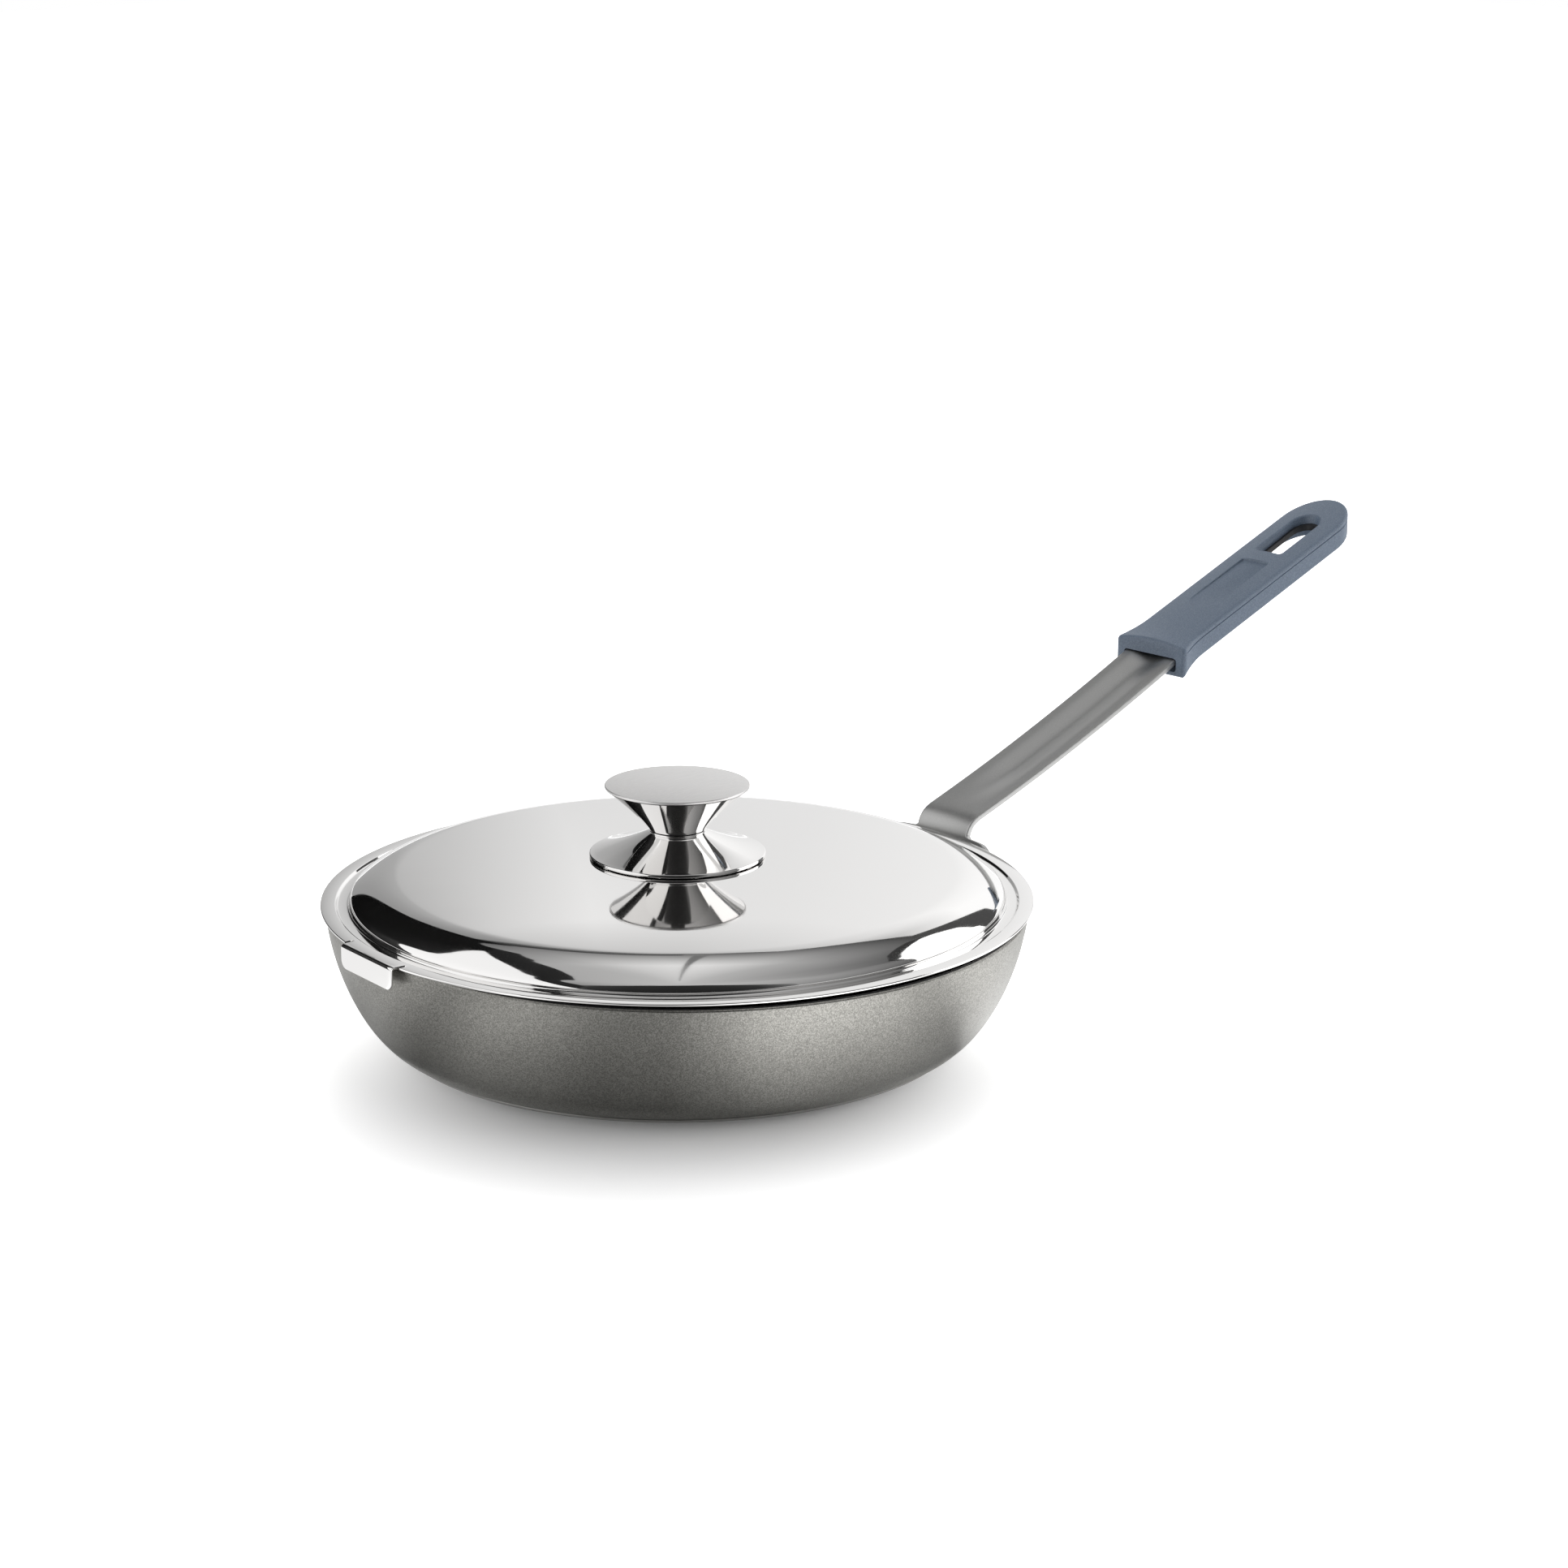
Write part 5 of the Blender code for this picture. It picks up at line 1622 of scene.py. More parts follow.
@dataclass
class Lid:
    """The polished lid: crowned top, round shoulder, locating groove, flange and tab."""

    sheet: float = 0.8 * MM
    flange_radius: float = 122.0 * MM
    flange_top: float = 48.4 * MM
    flange_edge: float = 0.3 * MM
    apex: float = 62.9 * MM
    crown_curve: float = 815.0 * MM
    turn_start: float = 95.3 * MM
    turn_radius: float = 35.0 * MM
    wall_radius: float = 112.3 * MM
    shoulder_radius: float = 3.5 * MM
    groove_depth: float = 0.8 * MM
    groove_fillet: float = 0.9 * MM
    groove_flat: float = 116.2 * MM
    groove_outer: float = 117.0 * MM
    groove_low_fillet: float = 0.5 * MM
    groove_high_fillet: float = 0.35 * MM
    hole: float = 2.8 * MM
    crown_steps: int = 48
    turn_steps: int = 28
    shoulder_steps: int = 16
    groove_steps: int = 8
    edge_steps: int = 4
    segments: int = 360
    tab: Tab = field(default_factory=Tab)

    def crown(self, radius: float) -> float:
        """Height of the flat crown at a radius."""
        return self.apex - self.crown_curve + math.sqrt(self.crown_curve**2 - radius**2)

    def top_profile(self) -> list[Point]:
        """Finds the top face's section.

        Returns:
            Its points, from the middle hole to the flange's edge.
        """
        span = self.turn_start - self.hole
        reaches = [self.hole + span * step / self.crown_steps for step in range(self.crown_steps)]
        made = [(radius, self.crown(radius)) for radius in reaches]
        turn, shoulder = self.turn_radius, self.shoulder_radius
        first = math.asin(self.turn_start / self.crown_curve)
        middle = (
            self.turn_start - turn * math.sin(first),
            self.crown(self.turn_start) - turn * math.cos(first),
        )
        reach = self.wall_radius - shoulder
        last = math.asin((reach - middle[0]) / (turn - shoulder))
        made += arc(middle, turn, math.pi / 2 - first, math.pi / 2 - last, self.turn_steps)
        centre = (reach, middle[1] + (turn - shoulder) * math.cos(last))
        made += arc(centre, shoulder, math.pi / 2 - last, 0.0, self.shoulder_steps)[1:]
        low = self.flange_top - self.groove_depth
        fillet = self.groove_fillet
        corner = (self.wall_radius + fillet, low + fillet)
        made += arc(corner, fillet, math.pi, 1.5 * math.pi, self.groove_steps)
        step = [
            (self.wall_radius + fillet, low),
            (self.groove_flat, low, self.groove_low_fillet),
            (self.groove_outer, self.flange_top, self.groove_high_fillet),
            (self.flange_radius - self.flange_edge, self.flange_top),
        ]
        return made + rounded(step)[1:]

    def build(self, lathe: Lathe, steel: bpy.types.Material) -> None:
        """Makes the lid with its notches and tab and rides it on the lid's body.

        Args:
            lathe: The lathe.
            steel: The polished steel.
        """
        top = self.top_profile()
        under = offset_profile(top, self.sheet)
        under[0] = (self.hole, top[0][1] - self.sheet)
        bottom = self.flange_top - self.sheet
        edge = self.flange_edge
        rim = self.flange_radius - edge
        outer = arc((rim, self.flange_top - edge), edge, math.pi / 2, 0.0, self.edge_steps)[1:]
        outer += arc((rim, bottom + edge), edge, 0.0, -math.pi / 2, self.edge_steps)
        section = top + outer + list(reversed(under[:-1]))
        lid = lathe.turn("lid_polished_shell", section, self.segments, steel, closed=True)
        flange = (self.flange_radius, self.flange_top)
        tools = [(self.tab.notch_tool(*flange, side), "DIFFERENCE") for side in (-1, 1)]
        tools.append((self.tab.tool(*flange, self.sheet), "UNION"))
        lid = combine(lid, tools)
        lid.data.materials.clear()
        lid.data.materials.append(steel)
        settle(lid, Body.LID, Slot.MIRROR, "lid_shell")


@dataclass
class Knob:
    """The turned knob: skirt and cone waist to waist, with a satin disc on top."""

    foot: float = 62.66 * MM
    sheet: float = 1.0 * MM
    rim_radius: float = 30.2 * MM
    rim_height: float = 1.45 * MM
    rim_round: float = 0.45 * MM
    rim_lip: float = 1.3 * MM
    waist_radius: float = 9.7 * MM
    waist: float = 71.74 * MM
    gap: float = 0.3 * MM
    edge: float = 0.4 * MM
    bore: float = 5.5 * MM
    cone_top: float = 86.34 * MM
    cone_radius: float = 24.2 * MM
    cap_radius: float = 24.8 * MM
    cap_rim: float = 0.9 * MM
    cap_crown: float = 1.5 * MM
    skirt_sag: float = 0.5 * MM
    cone_sag: float = 0.4 * MM
    cone_lip: float = 1.5
    cone_root: float = 0.6
    rim_bevel: float = 0.3 * MM
    rim_seam: float = 0.5 * MM
    spigot_inset: float = 4.2 * MM
    spigot_drop: float = 1.6 * MM
    cap_inset: float = 0.5 * MM
    cap_low_edge: float = 0.25 * MM
    cap_high_edge: float = 0.3 * MM
    flank_steps: int = 24
    segments: int = 256

    def flank(self, start: Point, end: Point, sag: float) -> list[Point]:
        """Walks from waist to rim along a flank that is a little hollow.

        Args:
            start: The flank's inner end.
            end: Its outer end.
            sag: Greatest depth of the hollow, square to the flank.

        Returns:
            Points between the two ends, both ends left out.
        """
        low, high = Vector(start), Vector(end)
        along = (high - low).normalized()
        side = Vector((along.y, -along.x))
        if side.x > 0:
            side = -side
        made = []
        for step in range(1, self.flank_steps):
            share = step / self.flank_steps
            made.append(tuple(low.lerp(high, share) + side * sag * 4 * share * (1 - share)))
        return made

    def skirt_section(self) -> list[Point]:
        """Section of the lower funnel.

        Returns:
            Radius and height of each point.
        """
        top = self.waist - self.gap / 2
        rim_top = self.foot + self.rim_height
        rim = self.rim_radius
        thick = self.sheet
        start = (self.waist_radius, top - self.edge)
        end = (rim - self.rim_lip, rim_top)
        outer = [(self.bore, top), (self.waist_radius, top, self.edge), start]
        outer += self.flank(start, end, self.skirt_sag)
        outer += [end, (rim, rim_top - self.rim_bevel, self.rim_round), (rim, self.foot, self.rim_round)]
        seam = rim - thick - self.rim_seam
        inner = [
            (seam, self.foot),
            (seam, rim_top - thick),
            (self.waist_radius, top - self.edge - thick),
            (self.bore, top - thick),
        ]
        return rounded(outer + inner, closed=True)

    def cone_section(self) -> list[Point]:
        """Section of the upper funnel.

        Returns:
            Radius and height of each point.
        """
        low = self.waist + self.gap / 2
        thick = self.sheet
        start = (self.waist_radius, low + self.edge)
        lip = (self.cone_radius, self.cone_top)
        outer = [(self.bore, low), (self.waist_radius, low, self.edge), start]
        outer += self.flank(start, lip, self.cone_sag)
        rim = (self.cone_radius - self.cone_lip * thick, self.cone_top)
        root = (self.waist_radius - self.cone_root * thick, low + thick)
        return rounded([*outer, lip, rim, root, (self.bore, low + thick)], closed=True)

    def cap_section(self) -> list[Point]:
        """Section of the satin disc with its spigot.

        Returns:
            Radius and height of each point.
        """
        low = self.cone_top + self.gap
        high = low + self.cap_rim
        rim = self.cap_radius
        spigot = self.cone_radius - self.spigot_inset
        drop = low - self.spigot_drop
        dome = (rim**2 + self.cap_crown**2) / (2 * self.cap_crown)
        half = math.asin((rim - self.cap_inset) / dome)
        centre = (0.0, high + self.cap_crown - dome)
        top = arc(centre, dome, math.pi / 2 - half, math.pi / 2, self.flank_steps)
        under = [
            (0.0, low),
            (spigot - self.sheet, low),
            (spigot - self.sheet, drop),
            (spigot, drop),
            (spigot, low),
            (rim, low, self.cap_low_edge),
            (rim, high, self.cap_high_edge),
        ]
        return rounded([*under, *top[:-1], (0.0, top[-1][1])])

    def build(self, lathe: Lathe, steel: bpy.types.Material) -> None:
        """Makes skirt, cone and cap and rides them on the lid.

        Args:
            lathe: The lathe.
            steel: The polished steel.
        """
        skirt = lathe.turn("knob_lower_funnel", self.skirt_section(), self.segments, steel, closed=True)
        settle(skirt, Body.LID, Slot.MIRROR, "knob_skirt")
        cone = lathe.turn("knob_upper_funnel", self.cone_section(), self.segments, steel, closed=True)
        settle(cone, Body.LID, Slot.MIRROR, "knob_cone")
        satin = SatinStainless().material()
        cap = lathe.turn("knob_satin_cap", self.cap_section(), self.segments, satin)
        settle(cap, Body.LID, Slot.SATIN, "knob_cap")


@dataclass
class HiddenFixing:
    """Bush, washers and screw under the knob, which keep their CAD shapes."""

    nodes: tuple[str, ...] = ("knob_bush", "flat_washer", "lock_washer", "knob_screw")

    def dress(self) -> None:
        """Gives the fixing its zinc-plated finish."""
        zinc = ZincPlatedSteel().material()
        for name in self.nodes:
            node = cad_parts[name]
            for slot in node.material_slots:
                slot.material = zinc
            log.info("%s: CAD node dressed", name)


# Studio


def stage_glow(
    name: str,
    builder: bmesh.types.BMesh,
    levels: list[float],
    material: bpy.types.Material,
    lights: bool = False,
) -> bpy.types.Object:
    """Stages a glowing piece that mirrors in the object, unseen by the camera and without a shadow.

    Args:
        name: The piece's name, without its prefix.
        builder: Its mesh, which is used up.
        levels: The level at each corner, in shares of white.
        material: The glowing material that reads the level.
        lights: Whether it lights matte surfaces too.

    Returns:
        The staged piece.
    """
    mesh = bpy.data.meshes.new(f"studio_{name}")
    builder.to_mesh(mesh)
    builder.free()
    mesh.attributes.new("level", "FLOAT", "POINT").data.foreach_set("value", levels)
    mesh.materials.append(material)
    piece = new_piece(f"studio_{name}", mesh)
    piece.visible_camera = False
    piece.visible_diffuse = lights
    piece.visible_shadow = False
    return piece


@dataclass(frozen=True)
class Panel:
    """A glowing panel round the object, drawn as columns seen from the lid.

    Each column is (compass angle, low angle, high angle, level at the low end, level at the high end), with
    angles in degrees and levels in shares of white.
    """

    name: str
    distance: float
    columns: tuple[tuple[float, float, float, float, float], ...]
    rows: int = 8
    eye_height: float = 50 * MM

    def build(self, material: bpy.types.Material) -> None:
        """Skins the columns and gives each corner its level.

        Args:
            material: The glowing material that reads the level.
        """
        builder = bmesh.new()
        shares = [row / self.rows for row in range(self.rows + 1)]
        lines, levels = [], []
        for compass, low, high, level_low, level_high in self.columns:
            spots = [self.place(compass, low + (high - low) * share) for share in shares]
            lines.append([builder.verts.new(spot) for spot in spots])
            levels += [level_low + (level_high - level_low) * share for share in shares]
        bridge(builder, list(zip(*lines)), closed=False)
        stage_glow(self.name, builder, levels, material, lights=True)

    def place(self, compass: float, angle: float) -> Vector:
        """Point at the panel's distance in a direction from the lid.

        Args:
            compass: Compass angle in degrees.
            angle: Angle above the horizon in degrees.

        Returns:
            The point, in metres.
        """
        turn, lift = math.radians(compass), math.radians(angle)
        away = Vector((math.cos(lift) * math.cos(turn), math.cos(lift) * math.sin(turn), math.sin(lift)))
        return Vector((0.0, 0.0, self.eye_height)) + away * self.distance


def edging(name: str, distance: float, points: tuple[Point, ...], width: float, level: float) -> Panel:
    """Makes a narrow strip along the top of a panel.

    Args:
        name: The panel's name.
        distance: Its distance from the lid.
        points: Compass angle and height angle along that top.
        width: Angle that the strip covers.
        level: Its level.

    Returns:
        The panel.
    """
    columns = tuple((compass, high, high + width, level, level) for compass, high in points)
    return Panel(name, distance, columns)


# Distances from the lid, in metres
BOX_AWAY = 2.0
STAND_AWAY = 2.2
FLAG_AWAY = 1.9
DARK_SIDE_AWAY = 2.5
RAIL_AWAY = 2.5
BACKDROP_AWAY = 2.6
BOOM_AWAY = 2.8
WALL_AWAY = 3.0
# Height angles of panels that run on below the floor, stop low or meet overhead, in degrees
BELOW_FLOOR = -10.0
BACKDROP_FOOT = -3.0
OVERHEAD = 89.9
SLIVER = 0.01
# Levels of the soft boxes' dark frames
LEFT_FRAME_LEVELS = (0.02, 0.03)
RIGHT_FRAME_LEVEL = 0.05
# Left soft box: compass angle, top of the box and top of its frame
LEFT_BOX = (
    (196, 0, 28), (192, 8, 36), (187, 18, 42), (182, 28, 47), (176, 37, 52), (169, 45, 58),
    (163, 51, 62), (155, 56.5, 66), (147, 60, 69), (138, 62.5, 71.5), (120, 63.5, 72), (108, 61.8, 71),
    (100, 59.3, 69), (94, 56.7, 67), (89, 54, 64.5), (85, 51.8, 61.5), (81.3, 49.6, 58), (78, 47, 56.5),
    (76, 45, 54), (74, 43, 52), (72.4, 41.5, 50.5),
)
# Right soft box: compass angle and top, then compass angle and foot of its leaning near edge
RIGHT_BOX = (
    (13, 38), (12, 41), (8, 44), (4, 46), (-2, 48), (-10, 48.2), (-18, 47.5), (-24, 46), (-28, 43.5),
    (-32, 40.5), (-36, 37), (-40, 31), (-43, 22), (-45, 12), (-46, 0),
)
RIGHT_BOX_FOOT = ((-6, -10), (-3, 14), (1, 21), (6, 25), (10, 28), (12, 32), (13, 38))
# Stand, rail, boom, flag, wall and dark side: the columns of a panel
RIGHT_STAND = ((19, 20, 40, 0.09, 0.09), (12, 8, 41, 0.09, 0.09), (-4, -10, 30, 0.09, 0.09))
RAIL = ((76, 38.3, 40.8, 0.03, 0.03), (60, 38.6, 41, 0.06, 0.06), (48, 37.8, 40.5, 0.13, 0.13))
BOOM = ((47.2, 41, 84, 0.22, 0.25), (46.0, 41, 84, 0.22, 0.25))
BLACK_FLAG = (
    (129, -10, 4, 0.02, 0.05), (124, -10, 9, 0.012, 0.05), (119, -10, 16, 0.01, 0.05),
    (114, -10, 22, 0.01, 0.05), (108, -10, 29, 0.01, 0.05), (104, -10, 36, 0.01, 0.05),
    (99, -10, 44.5, 0.006, 0.03), (95, -10, 46.5, 0.006, 0.02), (89.5, -10, 47.4, 0.005, 0.015),
    (83.5, -10, 48.1, 0.004, 0.01), (80, -10, 48.8, 0.003, 0.01), (76, -10, 48, 0.003, 0.01),
    (74, -6, 47, 0.003, 0.01), (71.6, 11, 43, 0.003, 0.01), (69.8, 29, 42, 0.004, 0.01),
    (67, 38.5, 42, 0.006, 0.01), (64.4, 41, 42, 0.006, 0.02),
)
WALL = (
    (74, 36, 60, 0.06, 0.56), (66, 36, 60, 0.08, 0.66), (58, 35, 60, 0.10, 0.86),
    (50, 35, 60, 0.16, 1.0), (44, 37, 60, 0.08, 1.02), (36, 39, 60, 0.03, 0.85),
    (24, 39, 60, 0.02, 0.55), (10, 36, 60, 0.03, 0.40), (-5, 40, 60, 0.03, 0.27),
    (-20, 40, 60, 0.04, 0.27), (-32, 30, 60, 0.05, 0.30), (-42, -10, 60, 0.07, 0.33),
    (-50, -10, 60, 0.10, 0.36), (-60, -10, 60, 0.15, 0.43), (-75, -10, 60, 0.23, 0.52),
    (-95, -10, 60, 0.35, 0.56), (-125, -10, 60, 0.35, 0.64), (-150, -10, 60, 0.25, 0.60),
    (-168, -10, 60, 0.05, 0.50), (-185, 30, 60, 0.30, 0.46), (-230, 50, 60, 0.40, 0.44),
    (-270, 50, 60, 0.45, 0.5), (-286, 36, 60, 0.06, 0.56),
)
DARK_SIDE = (
    (-92, -10, 20, 0.20, 0.30), (-98, -10, 36, 0.08, 0.14), (-104, -10, 56, 0.03, 0.06),
    (-114, -10, 70, 0.02, 0.04), (-132, -10, 72, 0.02, 0.03), (-150, -10, 70, 0.02, 0.04),
    (-162, -10, 50, 0.03, 0.06), (-168, -10, 30, 0.06, 0.15),
)
# Paper backdrop: compass angle, top, and the levels at its foot, middle and top
BACKDROP = (
    (74, 38, 0.40, 0.38, 0.30), (68, 38, 0.42, 0.40, 0.30), (64, 38, 0.48, 0.46, 0.36),
    (60, 37, 0.50, 0.56, 0.38), (56, 36.5, 0.62, 0.90, 0.42), (52, 36, 0.90, 1.12, 0.50),
    (48, 36.5, 0.96, 1.05, 0.62), (44, 38.5, 1.00, 1.07, 0.70), (40, 41.5, 1.10, 1.12, 0.75),
    (34, 41.5, 1.22, 1.25, 0.85), (26, 41.5, 1.33, 1.36, 0.70), (19, 40, 1.36, 1.36, 0.90),
    (-4, 38, 1.36, 1.36, 1.36),
)


def left_box(level: float, foot: float) -> tuple[Panel, Panel]:
    """Makes the left soft box and its dark frame.

    Args:
        level: Level of the box's top.
        foot: The level of its low end, as a share of the top's.

    Returns:
        Both panels.
    """
    cloth = tuple((compass, BELOW_FLOOR, top, level * foot, level) for compass, top, _ in LEFT_BOX)
    frame_sides = tuple((compass, top, rim, *LEFT_FRAME_LEVELS) for compass, top, rim in LEFT_BOX)
    return Panel("left_box", BOX_AWAY, cloth), Panel("left_frame", BOX_AWAY, frame_sides)


def wall_levels(above: float) -> tuple[tuple[float, float, float, float, float], ...]:
    """Columns of the ceiling, from the wall's top to overhead, with the level overhead."""
    return tuple((compass, high, OVERHEAD, level, above) for compass, _, high, _, level in WALL)


def backdrop_levels(middle: float) -> tuple[Panel, Panel]:
    """Makes the lower and the upper part of the paper backdrop.

    Args:
        middle: Height angle where they meet and from which the paper darkens upward.

    Returns:
        Both panels.
    """
    lower = tuple((compass, BACKDROP_FOOT, middle, foot, level) for compass, _, foot, level, _ in BACKDROP)
    upper = tuple((compass, middle, top, level, head) for compass, top, _, level, head in BACKDROP)
    return Panel("backdrop", BACKDROP_AWAY, lower), Panel("backdrop_top", BACKDROP_AWAY, upper)


def right_box_columns(level: float) -> tuple[tuple[float, float, float, float, float], ...]:
    """Columns of the right soft box, whose near edge leans.

    Args:
        level: Level of the box.

    Returns:
        Compass, foot, top and two levels of each column.
    """
    corner, high = RIGHT_BOX_FOOT[-1]
    made = [(corner, high, high + SLIVER, level, level)]
    for compass, top in RIGHT_BOX[1:]:
        low = BELOW_FLOOR
        for (first, first_foot), (second, second_foot) in zip(RIGHT_BOX_FOOT, RIGHT_BOX_FOOT[1:]):
            if first <= compass <= second:
                low = first_foot + (second_foot - first_foot) * (compass - first) / (second - first)
        made.append((compass, low, top, level, level))
    return tuple(made)


@dataclass(frozen=True)
class FloorPools:
    """Pools of light on the floor round the pan, which only glossy surfaces see.

    Each column is (compass angle, level beside the pan, level of the open floor, level far off).
    """

    columns: tuple[tuple[float, float, float, float], ...] = (
        (-180, 0.40, 1.10, 1.0), (-172.7, 0.55, 1.60, 1.0), (-159, 0.46, 1.25, 0.2),
        (-147, 0.29, 0.62, 0.04), (-133, 0.32, 0.74, 0.03), (-122, 0.60, 1.60, 0.04),
        (-110, 1.00, 3.20, 0.15), (-97, 0.90, 3.00, 1.0), (-83, 0.84, 2.60, 1.0),
        (-69, 0.62, 1.45, 1.0), (-63.6, 0.60, 1.15, 1.0), (-62.8, 1.60, 2.60, 1.0),
        (-58, 1.80, 2.80, 1.0), (-50, 2.10, 3.00, 1.0), (-44, 1.90, 2.50, 1.0), (-20, 0.70, 1.50, 1.0),
        (10, 0.50, 1.00, 1.0), (100, 0.50, 1.00, 1.0), (125, 0.60, 1.20, 1.0), (139, 0.50, 1.20, 1.0),
        (147, 0.62, 1.30, 1.0), (154, 0.62, 1.65, 1.0), (164, 0.42, 1.00, 1.0), (171, 0.26, 0.58, 1.0),
        (180, 0.40, 1.10, 1.0),
    )
    radii: tuple[float, ...] = (0.104, 0.115, 0.17, 0.45, 0.55, 2.4)
    lift: float = 0.3 * MM
    contact_share: float = 0.5

    def build(self, material: bpy.types.Material) -> None:
        """Lays the pools as a flat ring with a level at each corner.

        Args:
            material: The glowing material that reads the level.
        """
        builder = bmesh.new()
        rows, levels = [], []
        for compass, near, far, beyond in self.columns:
            turn = math.radians(compass)
            across, along = math.cos(turn), math.sin(turn)
            row = [builder.verts.new((across * radius, along * radius, self.lift)) for radius in self.radii]
            rows.append(row)
            levels += [near * self.contact_share, near, far, far, beyond, beyond]
        bridge(builder, rows, closed=False)
        stage_glow("floor_pools", builder, levels, material)


@dataclass(frozen=True)
class Lamp:
    """A square soft lamp that faces the middle of the floor, with its brightness in shares of white."""

    name: str
    place: tuple[float, float, float]
    size: float
    level: float

    def hang(self) -> None:
        """Hangs the lamp, out of sight of polished surfaces."""
        data = bpy.data.lights.new(self.name, "AREA")
        data.size = self.size
        data.energy = self.level * math.pi * self.size * self.size
        lamp = bpy.data.objects.new(self.name, data)
        lamp.visible_glossy = False
        lamp.location = self.place
        lamp.rotation_euler = Vector(self.place).to_track_quat("Z", "Y").to_euler()
        bpy.context.scene.collection.objects.link(lamp)


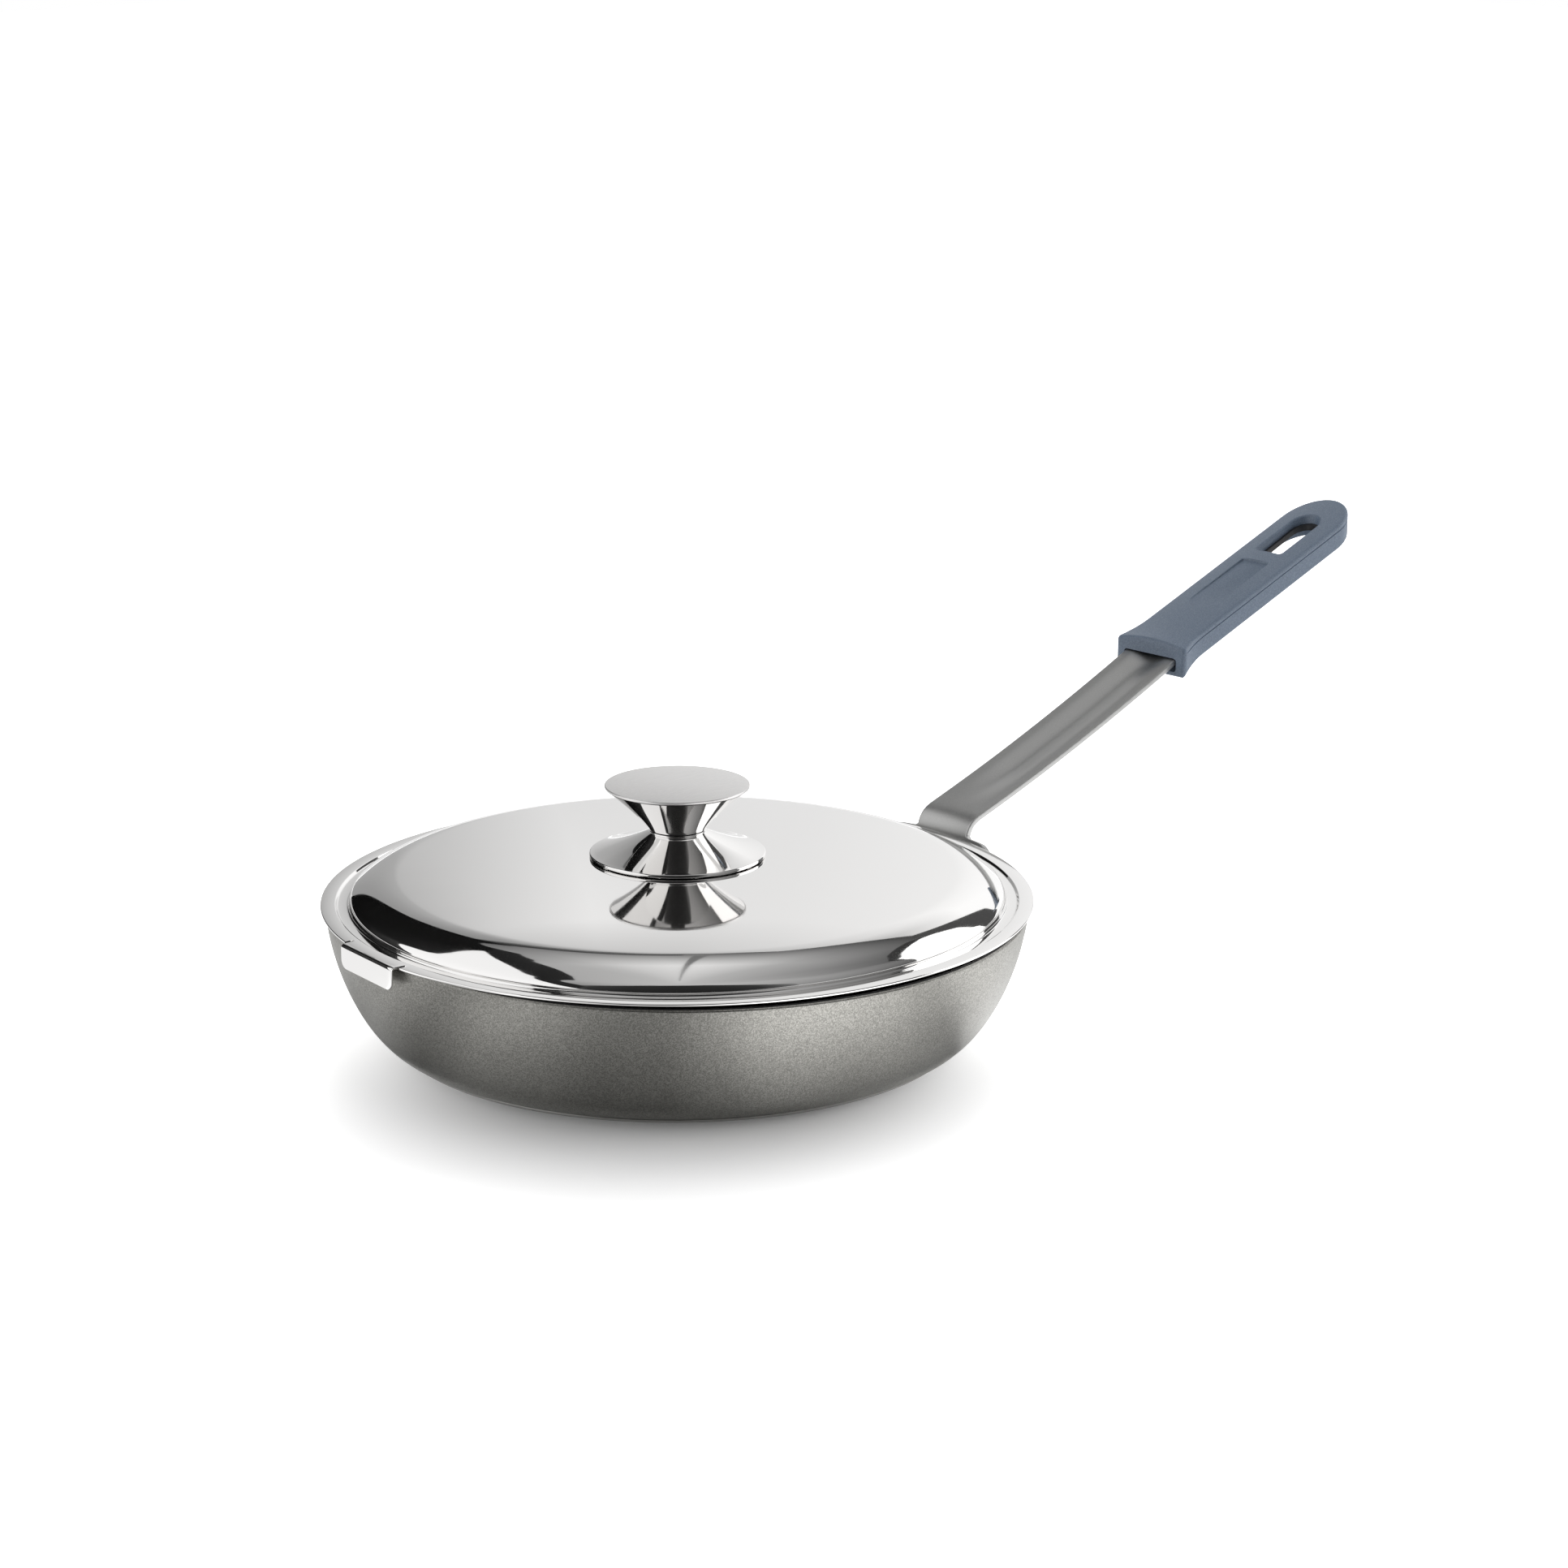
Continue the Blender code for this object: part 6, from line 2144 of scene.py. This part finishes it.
@dataclass
class Studio:
    """Pale floor, white room, soft lamps and the camera at the photograph's angle."""

    camera_place: tuple[float, float, float] = (-0.8991, -1.0106, 0.4505)
    camera_turn: tuple[float, float, float] = (74.97558, -0.09011, -43.17582)
    focal_pixels: float = 5062.05
    image_pixels: float = 1932.0
    sensor: float = 36.0
    floor_size: float = 8.0
    floor_drop: float = 0.15 * MM
    floor_colour: str = "#f2f2f2"
    floor_glow: float = 0.07
    floor_shade: tuple[float, float, float] = (-0.055, -0.055, 0.0)
    floor_shade_radii: tuple[float, float] = (0.04, 0.185)
    room_level: float = 0.4
    panel_seen: float = 0.85
    panel_light: float = 1.15
    left_level: float = 1.22
    left_foot: float = 1.12
    right_level: float = 2.0
    overhead_level: float = 0.68
    backdrop_seam: float = 27.0
    frame_width: float = 3.0
    lamps: tuple[Lamp, ...] = (
        Lamp("lamp_over", (0.1, 0.2, 1.7), 1.6, 0.3),
        Lamp("lamp_back", (1.1, 1.2, 1.1), 1.2, 0.9),
        Lamp("lamp_right", (1.25, -1.25, 0.75), 1.0, 2.6),
        Lamp("lamp_left", (-1.3, 1.1, 0.7), 1.0, 0.35),
    )

    def camera(self) -> None:
        """Sets the camera where outline points of the object put it."""
        data = bpy.data.cameras.new("camera")
        data.sensor_width = self.sensor
        data.lens = self.focal_pixels / self.image_pixels * self.sensor
        data.clip_start = 10 * MM
        camera = bpy.data.objects.new("camera", data)
        camera.location = self.camera_place
        camera.rotation_euler = [math.radians(angle) for angle in self.camera_turn]
        bpy.context.scene.collection.objects.link(camera)
        bpy.context.scene.camera = camera

    def seen(self, tree: bpy.types.NodeTree) -> bpy.types.NodeSocket:
        """Share that is 1 for camera, glossy and transmission rays.

        Args:
            tree: The material's node tree.

        Returns:
            The socket that holds the share.
        """
        path = add_node(tree, "ShaderNodeLightPath")
        share = path.outputs["Is Camera Ray"]
        for ray in ("Is Glossy Ray", "Is Transmission Ray"):
            inputs = {0: share, 1: path.outputs[ray]}
            share = add_node(tree, "ShaderNodeMath", {"operation": "MAXIMUM"}, inputs).outputs[0]
        return share

    def white_glow(
        self, tree: bpy.types.NodeTree, level: bpy.types.NodeSocket, share: bpy.types.NodeSocket
    ) -> bpy.types.NodeSocket:
        """Makes a white glow whose strength is a level times a share.

        Args:
            tree: The material's tree.
            level: The level.
            share: The share of it.

        Returns:
            The shader's socket.
        """
        strength = add_node(tree, "ShaderNodeMath", {"operation": "MULTIPLY"}, {0: level, 1: share})
        inputs = {"Color": WHITE, "Strength": strength.outputs[0]}
        return add_node(tree, "ShaderNodeEmission", inputs=inputs).outputs[0]

    def world(self) -> None:
        """Makes a room that is seen white and lights softly."""
        world = bpy.data.worlds.new("white_room")
        world.use_nodes = True
        tree = world.node_tree
        tree.nodes.clear()
        strength = add_node(
            tree,
            "ShaderNodeMapRange",
            inputs={"Value": self.seen(tree), "To Min": self.room_level, "To Max": 1.0},
        )
        white = add_node(
            tree, "ShaderNodeBackground", inputs={"Color": WHITE, "Strength": strength.outputs[0]}
        )
        add_node(tree, "ShaderNodeOutputWorld", inputs={"Surface": white.outputs[0]})
        bpy.context.scene.world = world

    def floor(self) -> None:
        """Lays the pale floor, which is seen white away from the object's front, where the shadow falls."""
        half = self.floor_size / 2
        builder = bmesh.new()
        corners = ((-half, -half), (half, -half), (half, half), (-half, half))
        builder.faces.new([builder.verts.new((x, y, -self.floor_drop)) for x, y in corners])
        floor = from_builder("studio_floor", builder)
        material, tree = new_material("pale_studio_paper")
        paper = add_node(tree, "ShaderNodeBsdfDiffuse", inputs={"Color": linear(self.floor_colour)})
        place = add_node(tree, "ShaderNodeTexCoord")
        away = add_node(
            tree,
            "ShaderNodeVectorMath",
            {"operation": "DISTANCE"},
            {0: place.outputs["Object"], 1: self.floor_shade},
        )
        near, far = self.floor_shade_radii
        span = {"From Min": near, "From Max": far, "To Min": self.floor_glow, "To Max": 1.0}
        white = add_node(
            tree,
            "ShaderNodeMapRange",
            {"interpolation_type": "SMOOTHSTEP"},
            {"Value": away.outputs["Value"], **span},
        )
        glow = self.white_glow(tree, self.seen(tree), white.outputs["Result"])
        both = add_node(tree, "ShaderNodeAddShader", inputs={0: paper.outputs[0], 1: glow})
        add_node(tree, "ShaderNodeOutputMaterial", inputs={"Surface": both.outputs[0]})
        floor.data.materials.append(material)

    def panels(self) -> None:
        """Stands the panels round the object: two soft boxes with dark frames, a flag, wall and ceiling."""
        material, tree = new_material("panel_glow")
        level = add_node(tree, "ShaderNodeAttribute", {"attribute_name": "level"})
        share = add_node(
            tree,
            "ShaderNodeMapRange",
            inputs={"Value": self.seen(tree), "To Min": self.panel_light, "To Max": self.panel_seen},
        )
        glow = self.white_glow(tree, level.outputs["Fac"], share.outputs[0])
        add_node(tree, "ShaderNodeOutputMaterial", inputs={"Surface": glow})
        made = (
            *left_box(self.left_level, self.left_foot),
            Panel("right_box", BOX_AWAY, right_box_columns(self.right_level)),
            edging("right_frame", BOX_AWAY, RIGHT_BOX, self.frame_width, RIGHT_FRAME_LEVEL),
            Panel("right_stand", STAND_AWAY, RIGHT_STAND),
            Panel("flag", FLAG_AWAY, BLACK_FLAG),
            *backdrop_levels(self.backdrop_seam),
            Panel("dark_side", DARK_SIDE_AWAY, DARK_SIDE),
            Panel("boom", BOOM_AWAY, BOOM),
            Panel("wall", WALL_AWAY, WALL),
            Panel("ceiling", WALL_AWAY, wall_levels(self.overhead_level)),
            Panel("rail", RAIL_AWAY, RAIL),
        )
        for panel in made:
            panel.build(material)
        FloorPools().build(material)
        log.info("studio: %d panels", len(made))

    def build(self) -> None:
        """Sets up camera, room, floor, lamps and panels."""
        self.camera()
        self.world()
        self.floor()
        self.panels()
        for lamp in self.lamps:
            lamp.hang()
        bpy.context.scene.view_settings.view_transform = "Standard"


def main() -> None:
    """Builds the pan, its handle, the lid and the studio in order."""
    logging.basicConfig(level=logging.INFO, format="%(message)s")
    Studio().build()
    lathe = Lathe()
    pan = PanBody()
    pan.build(lathe)
    Handle(pan).build(lathe)
    polished = PolishedStainless().material()
    Lid().build(lathe, polished)
    Knob().build(lathe, polished)
    HiddenFixing().dress()


if __name__ == "__main__":
    main()
